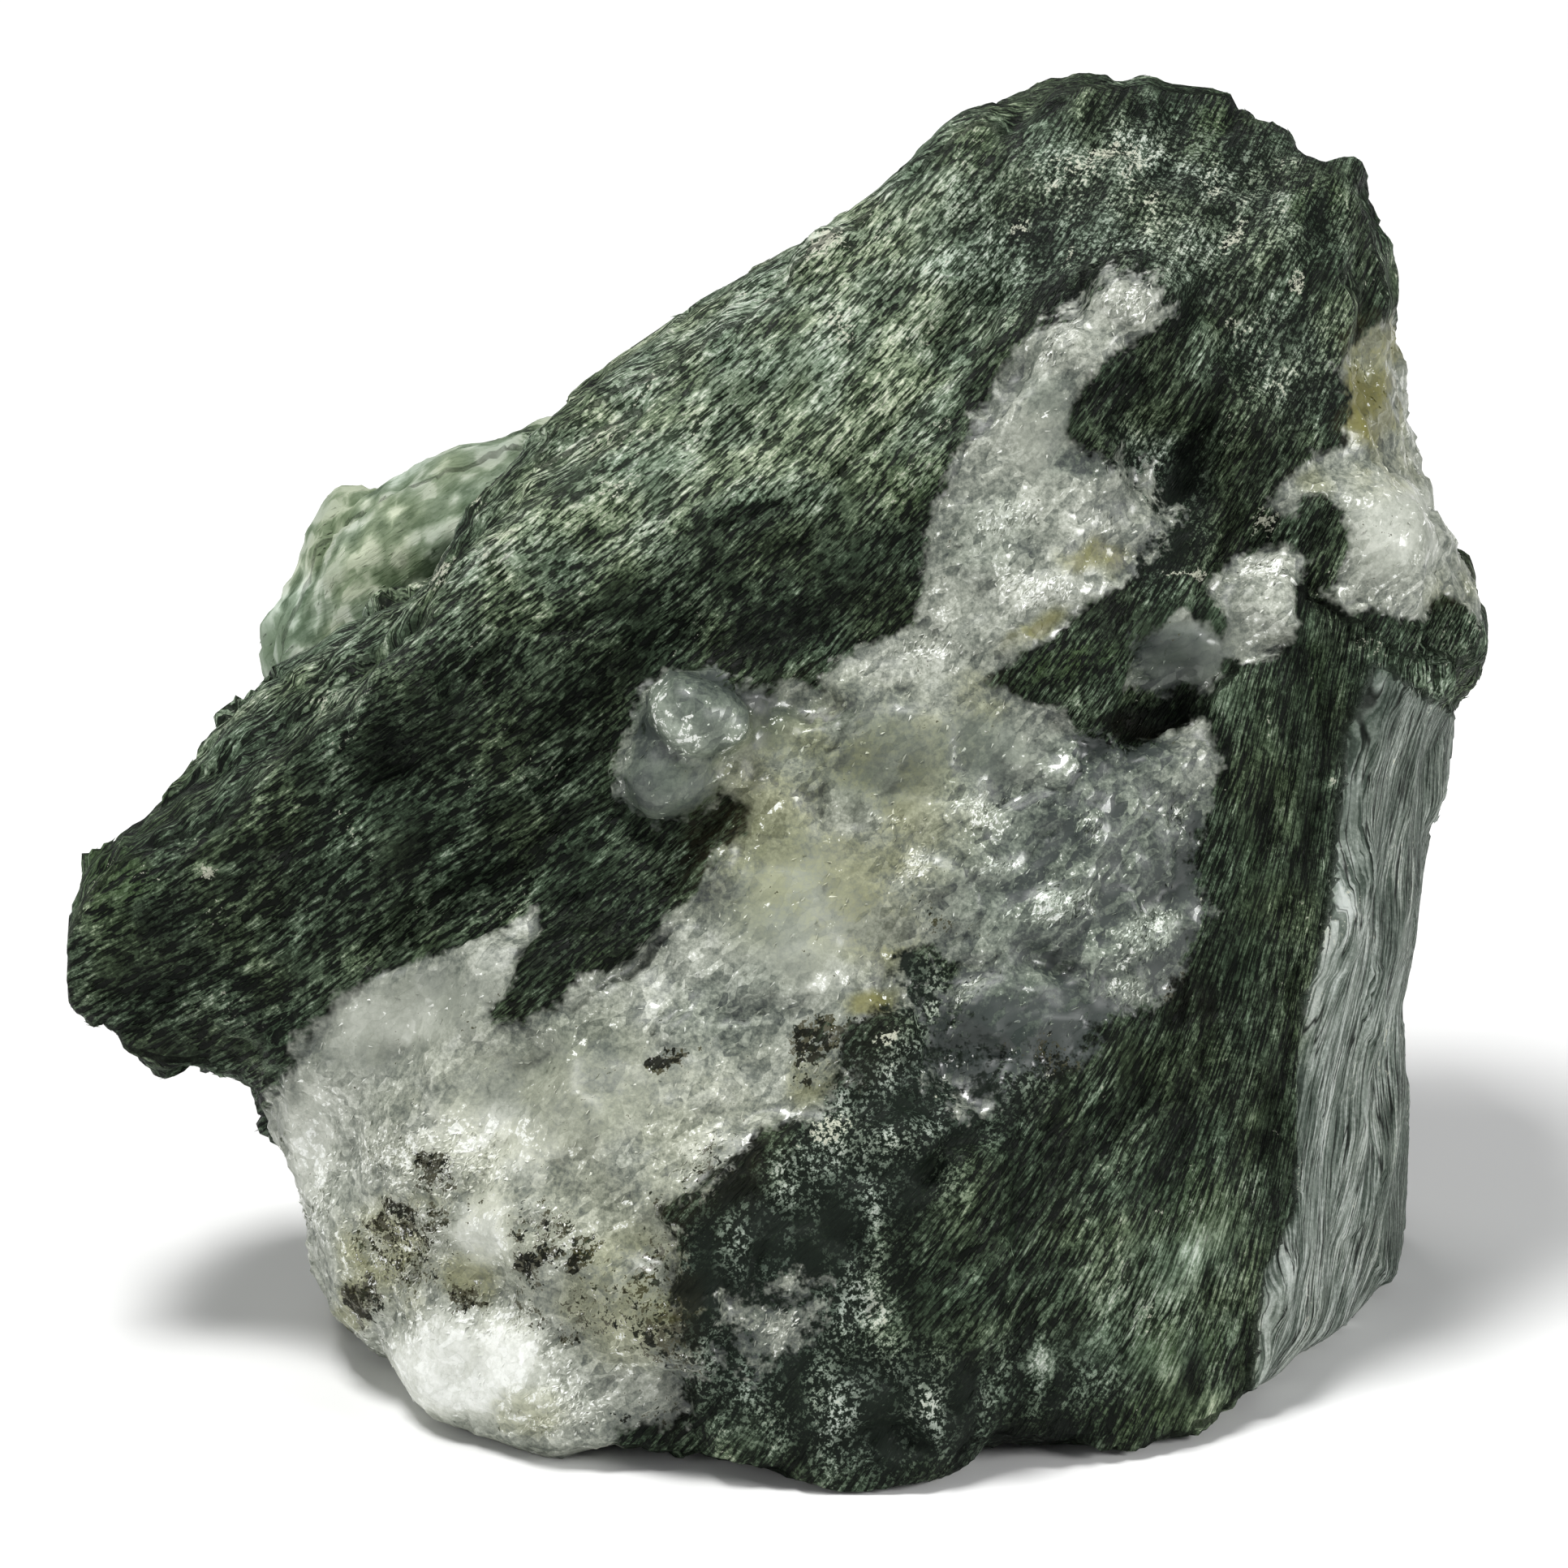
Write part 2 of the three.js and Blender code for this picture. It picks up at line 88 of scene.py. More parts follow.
def smoothstep(low: float, high: float, value: Field) -> Field:
    """Rises smoothly from 0 at low to 1 at high."""
    t = np.clip((value - low) / (high - low), 0.0, 1.0)
    return t * t * (3.0 - 2.0 * t)


def read(items: Any, key: str, width: int = 1, kind: type = float) -> np.ndarray:
    """Reads a property of each item, in rows of a width."""
    values = np.empty(len(items) * width, dtype=kind)
    items.foreach_get(key, values)
    return values.reshape(-1, width) if width > 1 else values


def points_of(mesh: bpy.types.Mesh) -> Points:
    """A mesh's points, in mm."""
    return read(mesh.vertices, "co", 3) / MM


def move(mesh: bpy.types.Mesh, points: Points) -> None:
    """Moves a mesh's points, given in mm."""
    mesh.vertices.foreach_set("co", (points * MM).ravel())
    mesh.update()


def linked(name: str, data: Any) -> bpy.types.Object:
    """Makes an object of some data and puts it in the scene."""
    made = bpy.data.objects.new(name, data)
    bpy.context.scene.collection.objects.link(made)
    return made


def baked(carrier: bpy.types.Object, name: str) -> bpy.types.Object:
    """Turns an object with modifiers into a plain mesh object, which takes its place."""
    evaluated = carrier.evaluated_get(bpy.context.evaluated_depsgraph_get())
    mesh = bpy.data.meshes.new_from_object(evaluated)
    mesh.name = name
    bpy.data.objects.remove(carrier)
    return linked(name, mesh)


@dataclass(frozen=True)
class Sheet:
    """The leaning sheet, which turns the stone's points into places that the eye sees."""

    lean: float = SHEET_LEAN
    eye: float = EYE_DISTANCE

    @property
    def toward(self) -> np.ndarray:
        """The direction out of the sheet, to the eye."""
        return np.array([0.0, -math.cos(self.lean), math.sin(self.lean)])

    @property
    def up(self) -> np.ndarray:
        """The direction up the sheet."""
        return np.array([0.0, math.sin(self.lean), math.cos(self.lean)])

    def seen(self, points: Points) -> tuple[Field, Field, Field]:
        """Finds where the eye sees points.

        Args:
            points: points of the stone, in mm.

        Returns:
            Their places across and up the sheet, and how far they stand out of it.
        """
        local = points - SHEET_MIDDLE
        toward = local @ self.toward
        scale = (self.eye - toward) / self.eye
        return local[:, 0] / scale, (local @ self.up) / scale, toward


class Noise:
    """Smooth random values over space, the same for the same seed."""

    def __init__(self, seed: int) -> None:
        """Draws the noise's table and slopes from a seed."""
        draw = np.random.default_rng(seed)
        self.table = np.tile(draw.permutation(256), 2)
        slopes = draw.normal(size=(256, 3))
        self.slopes = slopes / np.linalg.norm(slopes, axis=1, keepdims=True)

    def hashed(self, cells: np.ndarray) -> np.ndarray:
        """The table's number for each cell of a lattice."""
        x, y, z = (cells & 255).T
        return self.table[self.table[self.table[x] + y] + z]

    def __call__(self, points: Points, octaves: int = 1) -> Field:
        """Samples the noise.

        Args:
            points: where, in cells of the noise.
            octaves: how many layers are added, each twice as fine and half as strong.

        Returns:
            Values around 0, mostly between -1 and 1.
        """
        total = np.zeros(len(points))
        for octave in range(octaves):
            total += self._layer(points * 2.0**octave + 17.3 * octave) / 2.0**octave
        return total

    def _layer(self, points: Points) -> Field:
        """One layer of gradient noise."""
        cells = np.floor(points).astype(np.int64)
        inner = points - cells
        fade = inner**3 * (inner * (inner * 6.0 - 15.0) + 10.0)
        total = np.zeros(len(points))
        for corner in itertools.product((0, 1), repeat=3):
            offset = np.array(corner)
            slope = self.slopes[self.hashed(cells + offset)]
            weight = np.prod(np.where(offset, fade, 1.0 - fade), axis=1)
            total += weight * np.einsum("ij,ij->i", slope, inner - offset)
        return total * 1.6

    def facets(self, points: Points) -> tuple[Field, Field]:
        """Breaks space into irregular grains, each with a flat tilted top.

        Args:
            points: where, in grain widths.

        Returns:
            The height of each point's grain there, and a random value of the grain, 0 to 1.
        """
        cells = np.floor(points).astype(np.int64)
        nearest = np.full(len(points), np.inf)
        height = np.zeros(len(points))
        value = np.zeros(len(points))
        for step in itertools.product((-1, 0, 1), repeat=3):
            cell = cells + np.array(step)
            number = self.hashed(cell)
            middle = cell + 0.5 + 0.45 * self.slopes[self.table[number]]
            away = points - middle
            distance = np.einsum("ij,ij->i", away, away)
            closer = distance < nearest
            nearest[closer] = distance[closer]
            height[closer] = np.einsum("ij,ij->i", away, self.slopes[number])[closer]
            value[closer] = number[closer] / 255.0
        return height, value


@dataclass(frozen=True)
class Pattern:
    """A random pattern over the stone."""

    seed: int
    size: float | Triple  # mm, of its cells
    strength: float = 1.0
    octaves: int = 1

    def __call__(self, points: Points) -> Field:
        """The pattern's value at each point, around 0."""
        return self.strength * Noise(self.seed)(points / self.size, self.octaves)

    def facets(self, points: Points) -> tuple[Field, Field]:
        """The height and the random value of the grain that each point lies in."""
        return Noise(self.seed).facets(points / self.size)


# How far places stray, in mm, where outlines and patches are laid on the stone.
QUARTZ_STRAY = (Pattern(21, 9.0, 4.5, 2), Pattern(22, 9.0, 4.5, 2))
TINT_STRAY = (Pattern(41, 1.6, 0.5, 2), Pattern(42, 1.6, 0.5, 2))
SWELL_STRAY = (Pattern(91, 1.5, 0.35, 2), Pattern(92, 1.5, 0.35, 2))
WAVER = Pattern(31, 8.0, 0.28)  # of the fibres' lines
RIPPLE = Pattern(32, 1.6, 0.05)
BREAK_BEND = Pattern(66, 3.0, 0.9, 2)  # of the broken faces

# The patterns of the tints and the tones.
BAND_EDGE = Pattern(43, 3.0, 1.2, 3)
LOBE_EDGE = Pattern(49, 2.0, 0.15, 2)
LOBE_CLOUDS = Pattern(44, 0.9, 1.0, 2)
DULL_SPOTS = Pattern(45, 2.4, 1.0, 2)
MOTTLE = Pattern(46, 1.0, 0.34, 3)  # its cells are stretched along the fibres
HUE = Pattern(47, 3.3, 0.34, 2)
CLOUD = Pattern(48, 2.6, 0.30, 2)
FIRST_HIDDEN_SEED = 50  # of the tints behind, one seed for each
HIDDEN_SIZE = 6.0  # mm

# The patterns of the relief.
LEDGES = Pattern(61, (3.2, 10.0, 6.0), 3.0, 2)  # in ledges, of which STEPS make a full height
STEPS = 3.0
RIDGES = Pattern(62, (1.5, 7.0, 4.0), 1.0, 2)
THREADS = Pattern(63, (0.75, 4.0, 3.0))
LUMPS = Pattern(64, 1.3, 1.0, 2)
BREAKS = Pattern(65, 5.5)
BLOCKS = Pattern(71, 2.4)
GRAINS = Pattern(72, (1.3, 0.9, 1.1))
MOUNDS = Pattern(73, 2.6, 0.16)
MEETING = Pattern(74, 0.8, 0.25, 2)  # how the relief of the two minerals interlocks
RAGGED = Pattern(81, 0.7, 0.3, 2)  # where the fibres and the flakes end


@dataclass(frozen=True)
class Outline:
    """A closed outline on the sheet."""

    corners: tuple[Place, ...]

    def depth(self, across: Field, up: Field) -> Field:
        """How deep inside the outline each place lies, in mm, negative outside."""
        nearest = np.full(len(across), np.inf)
        inside = np.zeros(len(across), dtype=bool)
        for (x0, y0), (x1, y1) in zip(self.corners, self.corners[1:] + self.corners[:1]):
            run, rise = x1 - x0, y1 - y0
            along = ((across - x0) * run + (up - y0) * rise) / (run * run + rise * rise)
            along = np.clip(along, 0.0, 1.0)
            nearest = np.minimum(
                nearest, np.hypot(across - x0 - along * run, up - y0 - along * rise)
            )
            if y0 != y1:
                level = (y0 > up) != (y1 > up)
                inside ^= level & (across < x0 + run * (up - y0) / rise)
        return np.where(inside, nearest, -nearest)


@dataclass(frozen=True)
class Patch:
    """A soft oval patch on the sheet."""

    across: float
    up: float
    wide: float
    high: float
    strength: float = 1.0
    turn: float = 0.0  # degrees, anticlockwise

    def cover(self, across: Field, up: Field) -> Field:
        """The patch's strength at each place, fading to 0 at its rim."""
        angle = math.radians(self.turn)
        x, y = across - self.across, up - self.up
        along = (x * math.cos(angle) + y * math.sin(angle)) / self.wide
        beside = (y * math.cos(angle) - x * math.sin(angle)) / self.high
        return self.strength * (1.0 - smoothstep(PATCH_CORE, 1.0, np.hypot(along, beside)))


def patches(*rows: tuple[float, ...]) -> tuple[Patch, ...]:
    """Makes a patch of each row of a patch's values."""
    return tuple(Patch(*row) for row in rows)


def quartz_depth(across: Field, up: Field) -> Field:
    """How deep in any of the quartz's outlines each place lies, in mm, negative outside."""
    return np.max([outline.depth(across, up) for outline in QUARTZ], axis=0)


def strongest(covers: Sequence[Patch | Crystal], across: Field, up: Field) -> Field:
    """The highest of several covers at each place."""
    return np.max([cover.cover(across, up) for cover in covers], axis=0)


class Tint(Enum):
    """What colours the stone in patches, each stored as an attribute of its skin."""

    LIGHT = "light"  # dusty, silvery tourmaline, and painted light on the arm's upper band, the side face, the lobe and a few glints
    DARK = "dark"  # near-black tourmaline, and painted shade in grooves, hollows and crevices
    COARSE = "coarse"  # granular tourmaline, with no fibres
    MOSS = "moss"  # brighter green tourmaline
    PALE_AND_GLINTING = "pale"  # cream specks and painted glints on the tourmaline
    STAIN = "stain"  # yellow and olive iron stain
    CLEAR = "clear"  # greyer, clearer quartz
    WHITE = "white"  # sugary white quartz
    SMOOTH = "smooth"  # quartz broken clean, or tourmaline worn dull
    SPECK = "speck"  # dark mineral in the quartz


class Ground(Enum):
    """Where fibres and grains stand, each stored as an attribute of the skin."""

    UPPER = "upper_fibres"
    LOWER = "lower_fibres"
    BACK = "back_fibres"
    QUARTZ = "quartz_flakes"


QUARTZ = (
    Outline((
        (10.4, 18.5), (11.3, 19), (12.2, 19.6), (12.8, 20.3), (13.6, 20.8), (14.5, 21), (15.1, 20.7),
        (15.8, 19.5), (15.5, 18.9), (14.4, 18.3), (13.2, 17.4), (12.4, 16.8), (12.1, 15.8), (11.6, 14.5),
        (11.8, 14), (13.4, 13.3), (14.6, 12.9), (15.3, 12), (15.8, 10.9), (15.3, 10), (14.3, 9),
        (13.2, 7.7), (11.6, 6.7), (10, 5.5), (8.6, 4.7), (8.2, 4.1), (9.4, 3.4), (11.4, 2.9), (12, 2),
        (14.4, 1.8), (15.9, 2), (17.1, 2.9), (17.7, 1.6), (17.8, 0.2), (17.1, -1.4), (16.7, -3.2),
        (17.4, -4.9), (17, -6.5), (16, -8.2), (14.8, -9.4), (13, -9.6), (12.3, -10.9), (10.4, -11.6),
        (8.5, -11.4), (8.3, -13.2), (7.4, -13.4), (6.5, -12.2), (6.2, -10.2), (6.8, -9.3), (6.6, -8.4),
        (7.2, -7.4), (5.6, -6.6), (4.5, -7.1), (4.6, -9.1), (3.4, -9.6), (2.6, -9.8), (2.3, -11.6),
        (1.9, -13.4), (0.2, -13.8), (-1.2, -14.6), (-2.6, -15.8), (-3.9, -17), (-5.2, -17.6),
        (-4.2, -18.6), (-4.4, -20.6), (-4.3, -22.6), (-3.8, -24.4), (-4.2, -26), (-6.8, -26.6),
        (-7.6, -29), (-14, -29), (-22, -24), (-23, -14.5), (-21.4, -13.7), (-20.4, -12), (-19.5, -10.1),
        (-18, -8.8), (-16.2, -7.6), (-14.2, -7), (-12, -6.1), (-10.2, -5.4), (-10.2, -6.2), (-11.1, -7.2),
        (-10.9, -7.8), (-12.1, -9.3), (-12, -9.8), (-10.6, -9.7), (-9.3, -9.1), (-8.1, -8), (-7.2, -7.8),
        (-6.1, -7.2), (-5.1, -5.7), (-3.8, -5), (-3.2, -3.8), (-2.6, -2.4), (-1.5, -1.8), (-1.4, -0.9),
        (-2.4, -0.4), (-3.8, -1.2), (-5.4, -1.5), (-6.4, -0.6), (-6.9, 0.6), (-6.6, 1.6), (-5.9, 2.2),
        (-5.8, 4.1), (-4.6, 4.5), (-3, 4.4), (-2.3, 3.7), (-1.3, 4), (1.2, 4.2), (2.8, 5.3), (4.4, 6.1),
        (5.5, 6.8), (5.9, 8.4), (6, 10.2), (6.4, 11.8), (7, 13.1), (7.6, 14.6), (8.6, 16.4), (9.4, 17.7),
    )),
    Outline((
        (20.7, 12.6), (21.6, 13.3), (23, 14), (23.4, 16), (22.7, 16.9), (23.8, 18.4), (25, 19.2), (27, 19),
        (29.5, 12), (30, 6.5), (28.3, 6.8), (27.2, 8), (26.3, 6.8), (25.2, 6.7), (24.4, 7.2), (23.2, 7.2),
        (22.3, 7.8), (23.1, 9), (23.1, 10.6), (22.4, 11.9), (21.4, 11.8), (20.8, 11), (19.8, 11.2),
        (20, 12),
    )),
    Outline((
        (18.2, 9), (18.9, 9.5), (20.6, 9.8), (21.4, 9.3), (21, 8.1), (20.8, 6.8), (20.4, 5.6), (18.9, 5),
        (18.2, 5.3), (18.1, 7), (17.2, 8),
    )),
    Outline((
        (13.8, 3.9), (14.6, 5.6), (16.2, 6.9), (17.4, 6.6), (18, 5.8), (17.7, 4.4), (17.3, 3.9),
        (15.8, 3.9),
    )),
    Outline((
        (-2.3, -23.2), (-1.2, -22.3), (-2, -21.6), (0.6, -20.7), (1.4, -21.5), (1.2, -22.5), (0.2, -23.3),
        (-1.2, -24),
    )),
)

# The side face, whose fibres stand upright, and the lower face, whose fibres rise steeply.
SIDE_FACE = Outline((
    (24.2, 5), (23, 2), (22.7, -1), (22.4, -5), (21.3, -8.5), (20.8, -12), (20.9, -17.5), (19.5, -20),
    (19.2, -25), (21, -30), (30, -30), (32, 0), (27.4, 3),
))
LOWER_FACE = Outline((
    (-12, -32), (-12, -14), (0, -8), (8, -2), (17, 3), (20.8, 8.2), (25.6, 5.2), (34, 4), (34, -32),
))
# The arm's upward-facing band, painted paler: painted light where it faces up, over its own silvery
# fibres.
LIT_BAND = Outline((
    (-25, 0.2), (-20.8, 5), (-14.5, 9.5), (-9.4, 17), (-3.4, 21.5), (4.9, 27.5), (9, 26.5), (10, 22),
    (9.3, 18.5), (7.6, 15.8), (6.2, 13.2), (4.5, 12.2), (0, 10.8), (-3.9, 10.2), (-8.9, 7.4), (-13.5, 6.3),
    (-17, 4), (-20.5, 1), (-23.5, -1.6),
))
REAR_LOBE = np.array([-15.0, 4.5, -16.5])  # mm, across, up and out of the sheet
REAR_LOBE_SIZE = np.array([9.0, 13.0, 8.5])  # mm, from its middle to its rim
SIDE_SLOPE = math.radians(86)  # of the side face's fibres

# The length of a mottle across, along and through the fibres, in mm.
ARM_MOTTLE = (1.7, 3.8, 3.0)
LOWER_MOTTLE = (2.2, 1.6, 3.0)
SIDE_MOTTLE = (0.9, 1.3, 3.0)

# How many times the normals and the relief are blurred, to tell the form from its detail.
FACING_ROUNDS = 40
CREST_ROUNDS = 30

PATCHES: dict[Tint, tuple[Patch, ...]] = {
    # Dusty, silvery patches, with a painted glint and a painted streak of light at the arm's tip.
    Tint.LIGHT: patches(
        (-23.4, -3.6, 1.2, 0.5, 0.9, 25), (-21.4, -7.5, 1.1, 0.35, 0.8, 25),
        (-17.2, 3.8, 1.8, 0.7, 0.5, 40), (-18.6, 0.6, 1, 0.5, 0.35, 30), (-16, -7, 2.4, 0.7, 0.5, 20),
        (-9.6, 4.6, 1.6, 0.5, 0.35, 40), (-9, -0.4, 1.8, 0.4, 0.45, 35), (17.2, 17.9, 1.5, 1.6, 0.4),
        (13.6, 14.4, 2, 1.2, 0.35, 40), (18.6, 25, 5, 1.8, 0.35), (12.5, 26, 4.5, 2, 0.45),
        (20, 18, 1.6, 2.6, 0.3, 60), (5, -14.8, 1.4, 1.2, 0.6), (1.4, -15.2, 2, 1, 0.5, 20),
        (19.8, -13.6, 1.2, 0.8, 0.9, 30), (18.6, -17, 2.8, 1, 0.8, 50), (16, -20.6, 3.4, 1.4, 0.8, 30),
        (11.5, -23.4, 3.2, 1.4, 0.6, 15), (17, -25.6, 2.4, 0.8, 0.8, 25), (13.4, -12.6, 2, 0.5, 0.4, 30),
        (22.6, 0.2, 1.6, 0.6, 0.8, 10), (23.6, 5.6, 2.6, 0.5, 0.8, -40), (21.5, -8.7, 0.7, 1.2, 0.7),
        (2.6, -22, 2.6, 2.2, 0.35), (6, -25.4, 1.6, 1, 0.35, 30), (-22, -12, 1.6, 1.2, 0.5, 20),
        (-28.6, -7, 1.2, 2.4, 0.3), (17.5, 3.9, 1.6, 1.6, 0.35), (15, 24.4, 10, 4.4, 0.6, -8),
        (20.6, 18.6, 3.4, 5, 0.45), (15.6, -21, 6, 5.6, 0.66, 40), (-20, 9, 5, 6, 1, 40),
        (8.4, -17, 3, 4, 0.25), (26, 3, 2.4, 3.6, 0.6), (19.6, -2, 2.2, 9, 0.16, -4),
        (16.8, -19.4, 3, 1.3, 1.1, 45), (11.5, -23.4, 2.8, 1, 0.9, 15), (17.2, -25.2, 2.4, 0.7, 1, 25),
        (7.4, 18.8, 2.2, 1.8, 0.45, 50), (-27.7, -5.1, 1.8, 2.4, 0.35),
    ),
    # Near-black tourmaline, and painted shade in the grooves along the arm, the hollows and the crevices.
    Tint.DARK: patches(
        (13.4, 16.2, 2.4, 2.2, 1, 50), (17, 12, 3, 1.8, 0.3, -30), (15.6, 9.4, 1.8, 1.6, 0.9),
        (18.6, 17, 3, 1.4, 0.5, 60), (-0.6, -19.6, 3.6, 3, 0.8, 30), (6.4, -12.6, 4.6, 2.4, 0.6, 20),
        (9.6, -14.6, 4, 1.8, 0.7, 20), (3.6, -26.6, 4.4, 2.2, 1, 0), (-1.6, -25, 3.6, 1.6, 0.7, 10),
        (10.6, -26.6, 4, 0.9, 0.9, 10), (7.6, -19.4, 4, 3.2, 0.4, 40), (20.4, -3, 1.6, 6, 0.15, -4),
        (-8, 4.2, 8, 1.4, 0.5, 22), (1, 6.8, 5, 1.3, 0.9, 28), (-19, -1.6, 6, 1.2, 0.5, 30),
        (-12.6, 1.2, 5, 1, 0.4, 36), (-8, -7.4, 4.6, 2.4, 0.9, 36), (-21, -10, 4, 0.9, 0.4, -14),
        (-3, -2.2, 2.2, 0.9, 0.6, 40), (14.6, 2.6, 2.8, 0.9, 1, 12), (9, 21.4, 4, 0.7, 0.5, 56),
        (5, 20.6, 4, 0.5, 0.5, 56), (-2.6, 10.6, 3.4, 0.5, 0.5, 18), (-9.6, 6.6, 3, 0.5, 0.5, 22),
        (-9, -1.6, 4, 0.6, 0.5, 38), (22.4, 7.4, 1, 2.6, 0.5, 30), (5.2, -8.4, 2.4, 2, 0.8),
    ),
    Tint.COARSE: patches(
        (-0.5, -21, 8, 6.5, 1, 60), (6, -12.4, 7.5, 4.2, 1, 20), (4, -25.6, 7, 4, 1),
        (20, 24, 4.6, 3.6, 0.4, -30), (20.4, 17.4, 3.6, 4, 0.4), (14.6, 24.6, 5, 2.6, 0.35),
        (15, 11.4, 3.4, 4.4, 0.7), (14, 23, 10, 6, 0.45), (10.4, -24.6, 4.6, 3.2, 0.5),
        (17, 25.4, 7, 3, 0.6, -20), (3, -16, 6, 4, 0.9, 20), (5.2, -8.4, 2.6, 2.2, 1),
    ),
    Tint.MOSS: patches(
        (-27.6, -3.8, 2.4, 3.2, 0.9, 50), (-25.4, -0.6, 2.6, 1.2, 0.7, 35), (17.4, 26.6, 2.2, 1.6, 0.8),
        (21.8, 23.8, 1.6, 1.4, 0.9), (11.5, 4.9, 3.2, 1.4, 1, 20), (-7.2, -6.8, 1.6, 0.9, 0.5, 40),
        (-3.4, -0.9, 2, 0.7, 0.4, 20), (-15, 6.6, 2.4, 0.8, 0.5, 35), (5.2, 12.4, 1.8, 2, 0.5, 60),
        (21.4, 4.4, 2, 2.2, 0.6, 60), (16.6, -17, 2.4, 3, 0.5, 60), (16.8, -23, 3.2, 1.6, 0.6),
        (-8, 10.6, 3, 1.4, 0.3, 40), (21, -10.8, 0.8, 2.6, 0.5), (19.6, -2, 2.2, 8, 0.4, -4),
        (14.6, -26, 4, 1, 0.5), (8.6, 25, 2, 3, 0.3, 50),
    ),
    # Cream specks, and painted glints such as the one at the arm's tip.
    Tint.PALE_AND_GLINTING: patches(
        (-14, 9, 1.5, 1.1, 1, 50), (-12.6, 11.4, 1.2, 0.5, 0.6, 50), (1.6, 21.8, 1.3, 0.5, 0.9, 45),
        (-0.5, 17.9, 0.8, 0.4, 0.7, 40), (2.6, 18.4, 0.9, 0.6, 0.5), (6.7, 14.7, 1.3, 0.8, 0.8, 20),
        (6.4, 18.6, 1, 0.7, 0.5, 30), (12.4, 24.6, 5, 2.4, 0.4), (19, 24.6, 4, 2.2, 0.4),
        (20, 17.6, 2.2, 2.6, 0.3), (9.6, 23, 1.2, 0.6, 0.8, 40), (13.4, 26.2, 1.6, 0.5, 0.8),
        (15, 24, 1, 0.5, 0.8, 30), (18.6, 22.6, 1.2, 0.5, 0.8, 60), (21.4, 20.8, 0.8, 0.6, 0.8, 50),
        (11.6, 21.6, 0.8, 0.4, 0.7, 60), (18.3, 18.9, 0.4, 0.5, 0.9), (23.8, 20.6, 0.4, 0.6, 0.8),
        (-6, 14, 4, 2, 0.3, 40), (-20, 3, 2, 0.6, 0.4, 35), (24, 5.4, 2.2, 0.4, 0.7, -40),
        (22.4, 0.3, 1.6, 0.4, 0.7, 12), (4, -10.4, 0.6, 0.5, 0.9), (19.9, -14.4, 0.6, 0.5, 0.8),
        (-23.4, -3.6, 1.1, 0.5, 1.2, 25), (-17, 3.9, 2, 0.4, 0.6, 40), (13.2, -12.8, 0.5, 0.3, 0.8),
        (11.2, -11.7, 1.2, 0.3, 0.8, -8), (15.8, -17.3, 0.3, 0.3, 0.9), (18.9, -4, 0.8, 0.3, 0.6, 40),
        (1.6, -14.4, 2.2, 0.8, 0.6, 20), (6.4, -12.6, 0.8, 1.4, 0.4), (16.6, 8.3, 1.4, 0.3, 1, -8),
        (19.6, 10.8, 1, 0.8, 0.8), (21, 7.2, 0.7, 0.8, 0.6),
    ),
    Tint.STAIN: patches(
        (24.4, 18.2, 2, 1.6, 0.8), (23.9, 15.5, 1.7, 2.6, 1, 10), (24.6, 12.8, 2.2, 1.8, 0.25),
        (12.8, 9.4, 1.8, 1, 0.75, 15), (10, 6.2, 2.4, 0.7, 0.85, 32), (6, 1.6, 3.6, 2.6, 0.3),
        (3.8, -5.4, 2.4, 3.4, 0.55, 15), (3.6, -8.8, 1.6, 0.8, 0.85), (8, 3.4, 2, 2, 0.3),
        (-16.2, -19.2, 2.8, 2.8, 0.65), (-13, -20.4, 1.8, 1.2, 0.6), (-10.4, -26, 2.6, 1.3, 0.35),
        (-17.8, -21.2, 0.8, 1.8, 0.6), (-6.4, -20.6, 3.6, 2.6, 0.4), (1.2, -12.2, 1.4, 1.6, 0.45),
        (21.6, 12.4, 1.2, 0.8, 0.3), (27.6, 8, 1.4, 1.4, 0.25), (6, -4.6, 1.8, 0.9, 0.35),
        (1.8, -1.6, 8, 7, 0.45, 20), (-8, -16, 12, 9, 0.16), (-15.4, -19, 4, 3.4, 0.5),
        (-6, -21, 4.6, 4, 0.45),
    ),
    Tint.CLEAR: patches(
        (2.6, 1.6, 5, 3.4, 0.4, -20), (-1, -4, 4, 4, 0.25), (12.6, -4.4, 8, 7.6, 0.85),
        (10.2, -10, 6, 3.6, 1), (13.4, 1, 4, 1.6, 0.8), (15.9, 5.3, 2.8, 2.2, 1), (-4.8, 0, 3, 2.4, 0.85),
        (-0.8, 2.8, 1.6, 1.9, 0.85), (-3.7, 2.7, 3.2, 2.8, 1), (8.4, 10, 2.8, 2.6, 0.35),
        (10.8, 16, 1.6, 1.2, 0.35), (-9, -10.6, 4, 1.6, 0.2), (-2.4, -9.4, 3.6, 2.6, 0.35),
        (8, 0.8, 3, 3, 0.5), (26.4, 4, 2, 2.4, 0.3), (12.4, 13.2, 2, 0.8, 0.5), (-3.4, 3.6, 0.9, 0.6, 0.5),
    ),
    Tint.WHITE: patches(
        (-12.8, -23.6, 5.2, 3.6, 1), (-9.6, -25.6, 3, 1.8, 0.7), (-13.4, -15.2, 5.8, 2, 0.9, 4),
        (-12.4, -18.2, 1.8, 2.4, 0.9), (-16.6, -9.6, 3.6, 1.8, 0.45), (-3, -15.2, 2.4, 1.2, 0.5, 20),
        (-19.2, -15, 1.6, 4, 0.8), (-15.6, -19, 3.8, 3.2, 0.5), (-10.4, -18.6, 3.4, 2.4, 0.3),
        (-12.6, -14.6, 4, 2, 1), (4.4, -1.3, 1.6, 0.45, 0.9, -10), (5.4, -3.3, 1.2, 0.7, 0.8, 10),
        (8.1, -1.2, 1.2, 0.7, 0.9, -20), (8.9, -3.4, 1.4, 0.4, 0.9, 10), (11.3, -4.9, 1.8, 1.1, 1),
